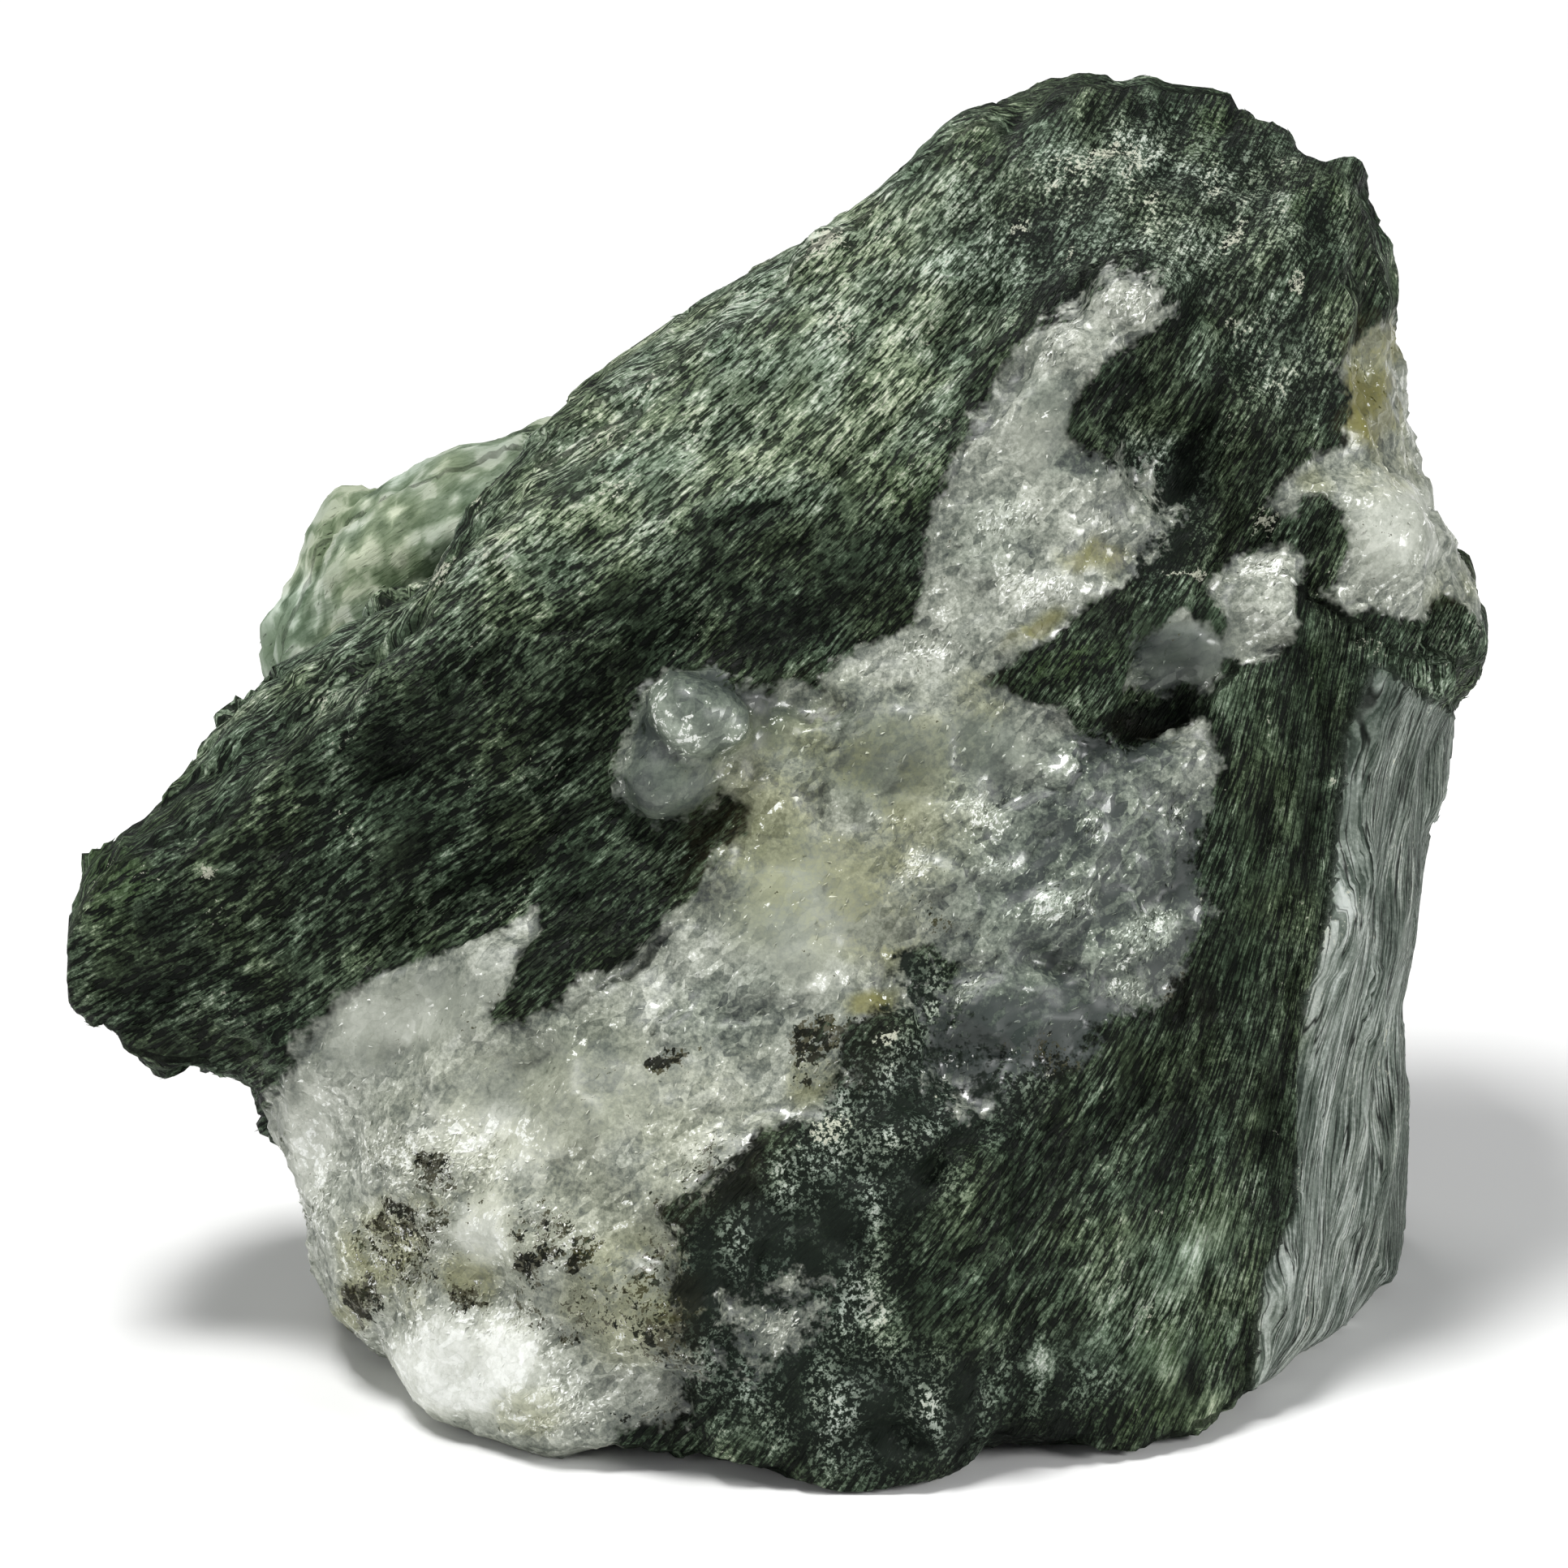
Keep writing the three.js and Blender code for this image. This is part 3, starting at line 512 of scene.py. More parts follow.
        (15, -6, 1.6, 1.1, 0.8, 40), (13.9, -8.5, 1.2, 0.6, 0.8), (7.4, -8.6, 0.8, 0.8, 0.7),
        (10.3, 8, 2, 0.8, 0.9), (9.2, 10.8, 2, 0.9, 0.6, 15), (5.8, 5.6, 1.6, 0.8, 0.8),
        (14.3, 19.8, 1.6, 1.1, 0.8), (11, 18.2, 1.6, 1, 0.6, 40), (-4.6, 2.6, 0.8, 1.7, 0.9, 25),
        (-2.6, 2.6, 0.5, 0.9, 0.7), (0.4, 1.4, 0.8, 0.8, 0.4), (0.2, -5, 2.4, 3, 0.3),
        (1.4, -8.2, 1, 0.4, 0.7), (13, 10.8, 1.2, 0.5, 0.6), (24.6, 10.6, 2.4, 2.8, 0.40),
        (19.8, 8.6, 1.2, 1, 0.6), (16.4, 2.4, 1, 0.6, 0.7), (12.6, -1.6, 0.7, 0.9, 0.7),
        (16, -1.4, 0.9, 0.4, 0.6, 30), (-0.2, -22.4, 1.6, 1.2, 0.6, 30), (23.4, 17, 0.8, 0.6, 0.8),
        (28.2, 4.8, 0.5, 1.6, 0.5),
    ),
    Tint.SMOOTH: patches(
        (-3.7, 2.7, 3.4, 3, 0.55), (-4.8, 0, 3.2, 2.6, 0.7), (16.4, 5.6, 3.2, 2.6, 1),
        (-15.6, -9.6, 5.6, 2.6, 0.9, 20), (-13, -24.2, 4.6, 3.4, 0.8), (-1, 2.6, 2.4, 2.2, 0.8),
        (10.6, 14.6, 2, 2.6, 0.6), (8.2, 1.6, 3.6, 2, 0.7, -20), (10.4, -9.4, 3.6, 1.8, 0.4, 10),
        (-19.6, -14, 2, 4, 0.6), (0.6, -5.4, 4.2, 4.4, 0.8), (4.4, 1, 3.6, 3, 0.7),
        (-9.6, -13, 7, 3.4, 0.6, 15), (24.8, 10.4, 2.6, 3, 0.7), (-12.4, -18.2, 1.8, 2.4, 0.7),
        (19.8, -13.6, 1.4, 0.9, 0.6, 30), (16.8, -19.4, 3.2, 1.5, 0.6, 45), (11.5, -23.4, 3, 1.2, 0.5, 15),
        (17.2, -25.2, 2.6, 0.8, 0.5, 25),
    ),
    Tint.SPECK: patches(
        (-16.6, -17.7, 1.5, 0.9, 0.95, 25), (-17.4, -20.9, 0.8, 1.5, 0.95),
        (-14.4, -15.6, 1.1, 0.7, 0.7, 20), (-13.8, -17.7, 1, 0.4, 0.8, -35), (-15.4, -19.9, 2.2, 2.2, 0.5),
        (-10.5, -19.6, 1.6, 1.2, 1, 10), (-8.9, -19.9, 1, 1, 0.95), (-10.6, -21.2, 0.6, 0.8, 0.6),
        (-13.2, -21, 0.8, 0.6, 0.75), (-8.3, -23, 1.2, 0.7, 0.8), (-10.2, -22.6, 0.7, 0.7, 0.6),
        (-6.7, -25.6, 0.8, 0.7, 0.9, 20), (-5.2, -11.4, 0.8, 0.7, 0.9, 30), (-3.7, -11.1, 0.3, 0.3, 0.8),
        (-13.2, -10.3, 0.35, 0.25, 0.8), (-12.8, -17.2, 0.3, 0.4, 0.8), (0.9, -10.9, 1.3, 1.5, 0.8),
        (-5, -17.7, 1.2, 0.5, 0.8, 10), (-6.4, -20.6, 3.6, 1.8, 0.5), (-9.6, -17.6, 1.8, 0.6, 0.6, -10),
        (-4.2, -21.2, 0.9, 2.2, 0.8), (6, -5, 1.6, 1, 0.5, -30), (14.6, 2.3, 2.4, 0.6, 0.7),
        (3, -9.4, 1.2, 0.5, 0.6), (-5.8, -25.8, 2.4, 1.2, 0.55), (16.2, -8.4, 1.4, 1.4, 0.5),
        (-15.6, -18.8, 3.2, 2.6, 0.66, 20), (-5, -21.6, 2.2, 4.2, 0.62, 10),
        (-2.4, -16, 3.4, 1.6, 0.62, 25), (3, -10.8, 2.6, 2.2, 0.6, 40), (-8.6, -18.6, 2.6, 1.4, 0.64),
        (-7.4, -22, 2.6, 1.6, 0.5), (10.6, -11.4, 3, 0.8, 0.6), (18.6, 9.4, 0.6, 0.4, 0.8),
    ),
}


@dataclass(frozen=True)
class Crystal:
    """A crystal that stands out of the quartz, with a flat top and flat flanks."""

    across: float
    up: float
    height: float
    flanks: tuple[tuple[float, float, float], ...]  # bearing in degrees, distance in mm, slope

    def cover(self, across: Field, up: Field) -> Field:
        """The crystal's height at each place, in mm."""
        x, y = across - self.across, up - self.up
        flanks = []
        for bearing, distance, slope in self.flanks:
            angle = math.radians(bearing)
            flanks.append(slope * (distance - x * math.cos(angle) - y * math.sin(angle)))
        return np.clip(np.min(flanks, axis=0), 0.0, self.height)


CRYSTALS = (
    Crystal(-3.7, 2.7, 1.6, (
        (10, 2.2, 1.4), (62, 1.9, 1), (118, 1.9, 1.6), (170, 2.1, 1.3), (222, 2, 0.8),
        (290, 1.8, 1.5), (40, 7, 0.2), (160, 5, 0.28), (265, 4.2, 0.33),
    )),
    Crystal(-4.8, 0, 0.8, (
        (0, 2.4, 0.5), (100, 2.4, 0.3), (165, 2.2, 0.9), (215, 2, 0.5), (262, 1.6, 1.1),
        (318, 2, 0.5),
    )),
    Crystal(14.2, 19.6, 0.6, (
        (20, 1.5, 0.8), (75, 1.4, 0.4), (135, 1.3, 0.9), (200, 2.2, 0.3), (255, 1.3, 0.7),
        (310, 1.2, 0.9),
    )),
    Crystal(24.8, 10.4, 0.7, (
        (5, 3, 0.3), (80, 3, 0.4), (140, 2.4, 0.6), (200, 2.2, 0.7), (260, 3, 0.3),
        (320, 2.6, 0.4),
    )),
    Crystal(19.8, 7.4, 0.8, (
        (25, 1.6, 0.8), (95, 2.2, 0.3), (160, 1.7, 0.7), (230, 1.6, 0.6), (285, 2.2, 0.5),
    )),
    Crystal(10.8, 8.2, 0.5, ((20, 2.2, 0.3), (110, 1.2, 0.5), (190, 2.6, 0.25), (280, 1.2, 0.6))),
    Crystal(11.3, -5, 0.45, ((30, 1.8, 0.3), (120, 1.2, 0.5), (210, 1.8, 0.3), (300, 1.2, 0.5))),
    Crystal(8.6, -3.2, 0.4, ((0, 1.6, 0.3), (95, 0.8, 0.6), (180, 1.8, 0.3), (265, 1, 0.6))),
)


# What stands proud of the stone's form or is sunk in it, with its height in mm as the strength.
SWELLS = patches(
    (24.6, 10.6, 3.2, 3.4, 0.4), (11.3, -5, 2.2, 1.4, 0.2), (15, -6, 2, 1.4, 0.2, 40),
    (9.4, 10.4, 3.4, 3, 0.4), (-12.6, -24, 4.6, 3, 0.6), (5, -14.8, 2, 1.6, 0.4),
    (1.6, 21.8, 2, 0.8, 0.5, 45),
)
HOLLOWS = patches(
    (14.6, 2.7, 3, 1.1, 0.25, 12), (16.6, 11.6, 2.2, 2.4, 0.2), (14, 15.8, 1.4, 2.2, 0.6, -30),
    (-2.4, 10.7, 4.6, 0.7, 0.6, 17), (-8, 6.7, 3.6, 0.45, 0.45, 20), (10.6, -7.2, 2.4, 1, 0.5, -20),
    (7.4, -11.4, 2.6, 1.6, 0.5), (-3.6, -2.6, 4.2, 0.5, 0.4, 52), (1.4, 3, 2.6, 1, 0.4),
    (4, -27, 3.6, 0.9, 0.5), (8.6, 15.6, 0.6, 3.6, 0.6, -38), (22.6, 7, 0.6, 3, 0.7, 32),
    (20.9, -8.8, 0.5, 1.6, 0.5), (-16.6, 5.4, 3, 0.4, 0.5, 36), (3.2, 14, 4.2, 0.35, 0.6, 42),
    (-6.4, -7.6, 4.4, 0.4, 0.5, 38),
)


@dataclass(frozen=True)
class Flow:
    """Fibres that sweep over the sheet, ever steeper to the right."""

    stations: tuple[Place, ...]  # places across, each with the fibres' slope in degrees

    def slope(self, across: Field) -> Field:
        """The fibres' slope at each place across, in radians."""
        places, slopes = np.array(self.stations).T
        return np.radians(np.interp(across, places, slopes))

    def lines(self, across: Field, up: Field) -> tuple[Field, Field]:
        """Lays fibre coordinates over the sheet.

        Args:
            across: places across the sheet.
            up: places up the sheet.

        Returns:
            How far each place is across the fibres and along them, in mm.
        """
        steps = np.linspace(-40.0, 40.0, 801)
        places, slopes = np.array(self.stations).T
        angles = np.radians(np.interp(steps, places, slopes))
        rise = np.cumsum(np.tan(angles)) * (steps[1] - steps[0])
        run = np.cumsum(1.0 / np.cos(angles)) * (steps[1] - steps[0])
        middle = math.cos(math.radians(float(np.mean(slopes))))
        return (
            (up - np.interp(across, steps, rise)) * middle,
            np.interp(across, steps, run) + 0.3 * up,
        )


ARM_FLOW = Flow(((-29.0, 27.0), (-18.0, 34.0), (-8.0, 38.0), (2.0, 43.0), (12.0, 54.0), (24.0, 62.0)))
FACE_FLOW = Flow(((-6.0, 46.0), (5.0, 50.0), (12.0, 56.0), (17.0, 68.0), (22.0, 79.0)))


class Net:
    """A mesh's edges, over which values are spread."""

    def __init__(self, mesh: bpy.types.Mesh) -> None:
        """Reads a mesh's edges."""
        one, other = read(mesh.edges, "vertices", 2, np.int64).T
        self.source = np.concatenate([one, other])
        self.target = np.concatenate([other, one])
        self.size = len(mesh.vertices)
        self.count = np.bincount(self.target, minlength=self.size)

    def mean(self, values: np.ndarray) -> np.ndarray:
        """The mean of each point's neighbours, for each column of values."""
        columns = values.reshape(self.size, -1)
        total = [np.bincount(self.target, c[self.source], self.size) for c in columns.T]
        return (np.stack(total, 1) / self.count[:, None]).reshape(values.shape)

    def blurred(self, values: np.ndarray, rounds: int) -> np.ndarray:
        """Values spread over their neighbours a number of times."""
        for _ in range(rounds):
            values = 0.4 * values + 0.6 * self.mean(values)
        return values


class Survey:
    """Where the points of the smooth form lie, and which part of the stone each belongs to."""

    def __init__(self, points: Points, facing: Points, sheet: Sheet) -> None:
        """Works out the parts from the points and from the way that the stone faces there."""
        self.points, self.facing = points, facing
        self.across, self.up, self.toward = sheet.seen(points)
        self.seen = facing @ sheet.toward  # 1 where the stone faces the eye
        self.front = smoothstep(-0.15, 0.15, self.seen)
        self.brow = smoothstep(-0.6, -0.2, self.seen)  # how far the front's tints reach round
        self.side = smoothstep(-0.3, 0.3, SIDE_FACE.depth(self.across, self.up))
        self.lower = LOWER_FACE.depth(self.across, self.up) > 0.0
        self.quartz = self._quartz()
        self.lobe = self._lobe()

    def _quartz(self) -> Field:
        """How deep in quartz each point lies, in mm, negative in tourmaline."""
        seen = quartz_depth(self.across, self.up)
        stray = [pattern(self.points) for pattern in QUARTZ_STRAY]
        hidden = quartz_depth(self.across + stray[0], self.up + stray[1]) - 1.2
        return np.clip(self.front * seen + (1.0 - self.front) * hidden, -3.0, 3.0)

    def _lobe(self) -> Field:
        """How far each point belongs to the pale lobe behind the arm."""
        place = np.stack([self.across, self.up, self.toward], 1)
        far = np.linalg.norm((place - REAR_LOBE) / REAR_LOBE_SIZE, axis=1)
        lobe = 1.0 - smoothstep(0.92, 1.08, far + LOBE_EDGE(self.points))
        lobe *= 0.4 + 0.6 * self.brow
        return lobe


@dataclass
class StoneSkin:
    """The whole stone, as one skin with its fibres, grains and colours."""

    name: str = "tourmaline_stone"
    voxel: float = 0.35  # mm, the spacing of the skin's points
    base_band: float = 0.8  # mm, above the resting face, where the relief fades out
    stairs: float = 0.60  # mm, the height of the ledges along the fibres
    ridges: float = 0.38  # mm, of the ridges on them
    threads: float = 0.20  # mm, of the finest ridges
    breaks: float = 1.1  # mm, of the broken faces behind
    blocks: float = 0.60  # mm, of the quartz's blocks
    grains: float = 0.34  # mm, of its grains
    # The height above its surroundings at which a crest takes the full painted light, in mm.
    seam: float = 0.12  # mm, the depth of the groove where the minerals meet
    crest: float = 0.22  # mm, above its surroundings, of what counts as a full crest
    sheet: Sheet = field(default_factory=Sheet)

    def build(self) -> bpy.types.Object:
        """Makes the stone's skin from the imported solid.

        Returns:
            The stone, with its attributes, but no material yet.
        """
        stone = self._remeshed()
        mesh = stone.data
        net = Net(mesh)
        points = self._smoothed(mesh, net)
        move(mesh, points)
        normals = read(mesh.vertices, "normal", 3)
        facing = net.blurred(normals, FACING_ROUNDS)
        facing /= np.linalg.norm(facing, axis=1, keepdims=True)
        lay = Survey(points, facing, self.sheet)
        grain = self._grain(lay.across, lay.up, lay.toward, lay.side)
        tints = self._tints(lay)
        facets = (BLOCKS.facets(points), GRAINS.facets(points))
        relief = self._relief(lay, grain, tints, facets)
        # Painted light and shade: how far each point stands above or sinks below its blurred surroundings,
        # so that the finish lightens crests and darkens hollows.
        crest = np.clip((relief - net.blurred(relief, CREST_ROUNDS)) / self.crest, -1.0, 1.0)
        fade = smoothstep(0.0, self.base_band, points[:, 2])
        move(mesh, points + normals * (relief * fade)[:, None])
        kept_inside(mesh)
        lines = self._grain(*self.sheet.seen(points_of(mesh)), lay.side)
        run = self._run(lay)
        attributes = {
            "quartz": lay.quartz, "side": lay.side, "crest": crest, "run": run,
            "grain": self._turned(lines, lay, run),
            **self._drifts(lay, grain, facets),
            **self._boundary(lay, tints),
            **self._grounds(lay, tints),
            **{tint.value: values for tint, values in tints.items()},
        }
        for name, values in attributes.items():
            self._store(mesh, name, values)
        mesh.polygons.foreach_set("use_smooth", [True] * len(mesh.polygons))
        return stone

    def _remeshed(self) -> bpy.types.Object:
        """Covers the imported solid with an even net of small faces."""
        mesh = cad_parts[NODE].data.copy()
        shape = bmesh.new()
        shape.from_mesh(mesh)
        bmesh.ops.remove_doubles(shape, verts=shape.verts, dist=1e-6)
        shape.to_mesh(mesh)
        shape.free()
        mesh.materials.clear()
        solid = linked("solid", mesh)
        remesh = solid.modifiers.new("net", "REMESH")
        remesh.mode = "VOXEL"
        remesh.voxel_size = self.voxel * MM
        return baked(solid, self.name)

    def _smoothed(self, mesh: bpy.types.Mesh, net: Net) -> Points:
        """The mesh's points, with the solid's facets relaxed but its bulk kept."""
        points = points_of(mesh)
        floor = points[:, 2] < 0.05
        for pull in (0.5, -0.52) * 9:
            points = points + pull * (net.mean(points) - points)
            points[floor, 2] = 0.0
        return points

    def _run(self, lay: Survey) -> Points:
        """The direction of the fibres at each point, in the stone's frame."""
        slope = np.where(lay.lower, FACE_FLOW.slope(lay.across), ARM_FLOW.slope(lay.across))
        slope = np.where(lay.side > 0.5, SIDE_SLOPE, slope)
        along = np.array([1.0, 0.0, 0.0])
        return np.cos(slope)[:, None] * along + np.sin(slope)[:, None] * self.sheet.up

    def _grain(self, across: Field, up: Field, toward: Field, side: Field) -> Points:
        """Lays fibre coordinates over the stone.

        Args:
            across: the points' places across the sheet, in mm.
            up: their places up the sheet.
            toward: how far they stand out of it.
            side: how far each belongs to the side face.

        Returns:
            Distances across, along and through the fibres.
        """
        flat = np.stack([across, up, 0.3 * toward], 1)
        waver = WAVER(flat) + RIPPLE(flat)
        lower = LOWER_FACE.depth(across, up) + 2.0 * waver > 0.0
        arm = ARM_FLOW.lines(across, up)
        face = FACE_FLOW.lines(across, up)
        beside = np.where(lower, face[0] + 90.0, arm[0]) + waver
        along = np.where(lower, 0.65 * face[1], arm[1])
        upright = side > 0.5
        beside = np.where(upright, toward + 0.3 * waver, beside)
        along = np.where(upright, 0.35 * up, along)
        return np.stack([beside, along, np.where(upright, across, toward)], 1)

    def _turned(self, grain: Points, lay: Survey, run: Points) -> Points:
        """Turns the fibre coordinates where the stone is seen edge on, and flattens their depth.

        Args:
            grain: distances across, along and through the fibres.
            lay: where the points lie.
            run: the fibres' direction at each.

        Returns:
            The coordinates that the finish reads.
        """
        beside, along, through = grain.T
        rising = np.abs(np.einsum("ij,ij->i", lay.facing, np.cross(self.sheet.toward, run)))
        edge_on = (rising > 1.7 * np.abs(lay.seen)) & (lay.side < 0.5)
        beside, through = np.where(edge_on, through, beside), np.where(edge_on, beside, through)
        return np.stack([beside, along, 0.12 * through + 40.0 * edge_on], 1)

    def _tints(self, lay: Survey) -> dict[Tint, Field]:
        """The strength of each tint at each point, most of them 0 to 1."""
        points, brow, lobe = lay.points, lay.brow, lay.lobe
        stray = [pattern(points) for pattern in TINT_STRAY]
        x, y = lay.across + stray[0], lay.up + stray[1]
        tints = {}
        for number, (tint, covers) in enumerate(PATCHES.items()):
            spread = 1.2 if tint is Tint.SPECK else 0.0
            seen = strongest(covers, x + spread * stray[0], y + spread * stray[1])
            pattern = Pattern(FIRST_HIDDEN_SEED + number, HIDDEN_SIZE, 1.0, 2)
            hidden = smoothstep(0.1, 0.9, pattern(points))
            hidden *= 0.3 if tint is Tint.STAIN else 0.6
            tints[tint] = brow * seen + (1.0 - brow) * hidden
        # Painted light: the upward-facing band, the side face and the lobe behind are painted paler where
        # the light falls on them, and what faces away a little paler.
        band = smoothstep(-1.0, 2.0, LIT_BAND.depth(x, y) + BAND_EDGE(points)) * brow
        band = band * (0.72 + 0.28 * smoothstep(-22.0, -8.0, lay.across))
        light = np.maximum(tints[Tint.LIGHT], 0.95 * band)
        light = np.maximum(light, lay.side * (1.3 - 0.4 * smoothstep(22.5, 25.5, lay.across)))
        light = np.maximum(light, lobe * (1.5 + 1.6 * np.maximum(LOBE_CLOUDS(points), -0.2)))
        tints[Tint.LIGHT] = np.maximum(light, 0.3 * (1.0 - brow))
        tints[Tint.MOSS] = np.maximum(tints[Tint.MOSS], 0.5 * lobe)
        dull = 0.5 * smoothstep(0.1, 0.7, DULL_SPOTS(points))
        dull *= 1.0 - tints[Tint.COARSE]
        dull = np.where(lay.quartz < 0.0, np.maximum(dull, 1.1 * lobe), 0.0)
        tints[Tint.SMOOTH] = np.maximum(tints[Tint.SMOOTH], dull)
        tints[Tint.PALE_AND_GLINTING] *= smoothstep(-0.4, 0.0, lay.seen)
        return tints

    def _drifts(self, lay: Survey, grain: Points, facets: Facets) -> dict[str, Field]:
        """The slow changes of tone and hue over the stone, most of them around 0."""
        patch = np.where(lay.lower[:, None], LOWER_MOTTLE, ARM_MOTTLE)
        patch = np.where(lay.side[:, None] > 0.5, SIDE_MOTTLE, patch)
        (_, plane), (_, chip) = facets
        return {
            "face": (lay.lower | (lay.side > 0.5)).astype(float), "mottle": MOTTLE(grain / patch),
            "hue": HUE(lay.points), "cloud": CLOUD(lay.points), "plane": plane - 0.5,
            "chip": chip - 0.5,
        }

    def _boundary(self, lay: Survey, tints: dict[Tint, Field]) -> dict[str, Field]:
        """What tells the finish how raggedly the two minerals meet."""
        broken = strongest(PATCHES[Tint.SMOOTH], lay.across, lay.up)
        clear = tints[Tint.CLEAR] * (1.0 - np.where(lay.quartz > -0.6, broken, 0.0))
        coarse = tints[Tint.COARSE]
        blended = 1.0 - 0.6 * coarse
        merging = (1.0 - 0.7 * clear) * blended
        return {
            "edge": lay.quartz * merging,
            "fray": (1.6 + 4.6 * coarse + 3.0 * clear) * merging,
            "frost": (2.6 * coarse + 1.4 * clear) * blended,
        }

    def _grounds(self, lay: Survey, tints: dict[Tint, Field]) -> dict[str, Field]:
        """How densely each kind of small form stands at each point, 0 to 1."""
        ragged = lay.quartz + RAGGED(lay.points)
        low = smoothstep(self.base_band, 2.0 * self.base_band, lay.points[:, 2])
        shown = lay.front > 0.5
        green = (1.0 - smoothstep(-0.7, -0.3, ragged)) * low * (1.0 - 0.6 * tints[Tint.COARSE])
        clusters = np.clip(1.2 * tints[Tint.WHITE] - 1.8 * tints[Tint.SMOOTH] - 0.1, 0.02, 1.0)
        return {
            Ground.UPPER.value: green * (shown & ~lay.lower & (lay.side < 0.5)),
            Ground.LOWER.value: green * (shown & (lay.lower | (lay.side >= 0.5))),
            Ground.BACK.value: green * ~shown,
            Ground.QUARTZ.value: smoothstep(0.3, 0.6, ragged) * low * clusters,
        }

    def _relief(
        self, lay: Survey, grain: Points, tints: dict[Tint, Field], facets: Facets
    ) -> Field:
        """How far each point stands proud of the smooth form, in mm."""
        points, front, quartz = lay.points, lay.front, lay.quartz
        ledges = LEDGES(grain)
        whole = np.floor(ledges)
        stairs = (whole + smoothstep(0.5, 0.95, ledges - whole)) / STEPS
        fibrous = self.stairs * stairs + self.ridges * (0.4 - np.abs(RIDGES(grain)))
        fibrous = fibrous + self.threads * (0.4 - np.abs(THREADS(grain)))
        coarse = tints[Tint.COARSE]
        tourmaline = fibrous * (1.0 - 0.88 * lay.side) * (1.0 - 0.55 * coarse)
        tourmaline += (0.10 + 0.24 * coarse - 0.08 * lay.side) * LUMPS(points) + 0.1
        breaks, _ = BREAKS.facets(points + BREAK_BEND(points)[:, None])
        tourmaline += (self.breaks - 0.8 * front) * (1.0 - 0.6 * lay.side) * breaks
        (blocks, _), (grains, _) = facets
        rough = 0.85 - 0.40 * front + 0.45 * tints[Tint.CLEAR]
        blocks = blocks * (self.blocks * rough * (1.0 - 0.55 * tints[Tint.SMOOTH]))
        grains = grains * (self.grains * rough * (1.0 - 0.9 * tints[Tint.SMOOTH]))
        share = smoothstep(-0.25, 0.25, quartz + MEETING(points))
        groove = -self.seam * np.exp(-((quartz / 0.35) ** 2))
        relief = share * (blocks + grains + MOUNDS(points)) + (1.0 - share) * tourmaline + groove
        relief *= 1.0 - 0.4 * smoothstep(8.0, 20.0, lay.up) * (1.0 - smoothstep(-0.5, 0.5, quartz))
        relief += front * self._swell(lay)
        return relief

    def _swell(self, lay: Survey) -> Field:
        """The swells and hollows that the front has of its own, in mm."""
        stray = [pattern(lay.points) for pattern in SWELL_STRAY]
        x, y = lay.across + stray[0], lay.up + stray[1]
        proud = np.maximum(strongest(SWELLS, x, y), strongest(CRYSTALS, lay.across, lay.up))
        return proud - strongest(HOLLOWS, x, y)

    @staticmethod
    def _store(mesh: bpy.types.Mesh, name: str, values: np.ndarray) -> None:
        """Stores numbers or vectors as an attribute of a mesh's points."""
        vectors = values.ndim == 2
        kind, key = ("FLOAT_VECTOR", "vector") if vectors else ("FLOAT", "value")
        mesh.attributes.new(name, kind, "POINT").data.foreach_set(key, values.ravel())


def operator(operation: str, reflected: bool = False) -> Callable[[Signal, Any], Signal]:
    """Makes an operator that adds a Math node on a signal and another value.

    Args:
        operation: the Math node's operation.
        reflected: whether the other value comes first.

    Returns:
        The operator, as a method of Signal.
    """

    def method(self: Signal, other: Any) -> Signal:
        """The Math node's output."""
        return self.maths(operation, *((other, self) if reflected else (self, other)))

    return method


class Signal:
    """A node's output, which takes part in Python arithmetic."""

    def __init__(self, web: NodeWeb, socket: bpy.types.NodeSocket) -> None:
        """Wraps an output socket of a web of nodes."""
        self.web = web
        self.socket = socket

    def maths(self, operation: str, *values: Any) -> Signal:
        """Adds a Math node on some values."""
        return self.web.node("ShaderNodeMath", {"operation": operation}, dict(enumerate(values)))

    __add__, __radd__ = operator("ADD"), operator("ADD", reflected=True)
    __sub__, __rsub__ = operator("SUBTRACT"), operator("SUBTRACT", reflected=True)
    __mul__, __rmul__ = operator("MULTIPLY"), operator("MULTIPLY", reflected=True)
    larger = operator("MAXIMUM")

    def absolute(self) -> Signal:
        """This without its sign."""
        return self.maths("ABSOLUTE", self)

    def between(self, low: float, high: float) -> Signal:
        """Rises smoothly from 0 at low to 1 at high."""
        ends = {"Value": self, "From Min": low, "From Max": high}
        return self.web.node("ShaderNodeMapRange", {"interpolation_type": "SMOOTHSTEP"}, ends)


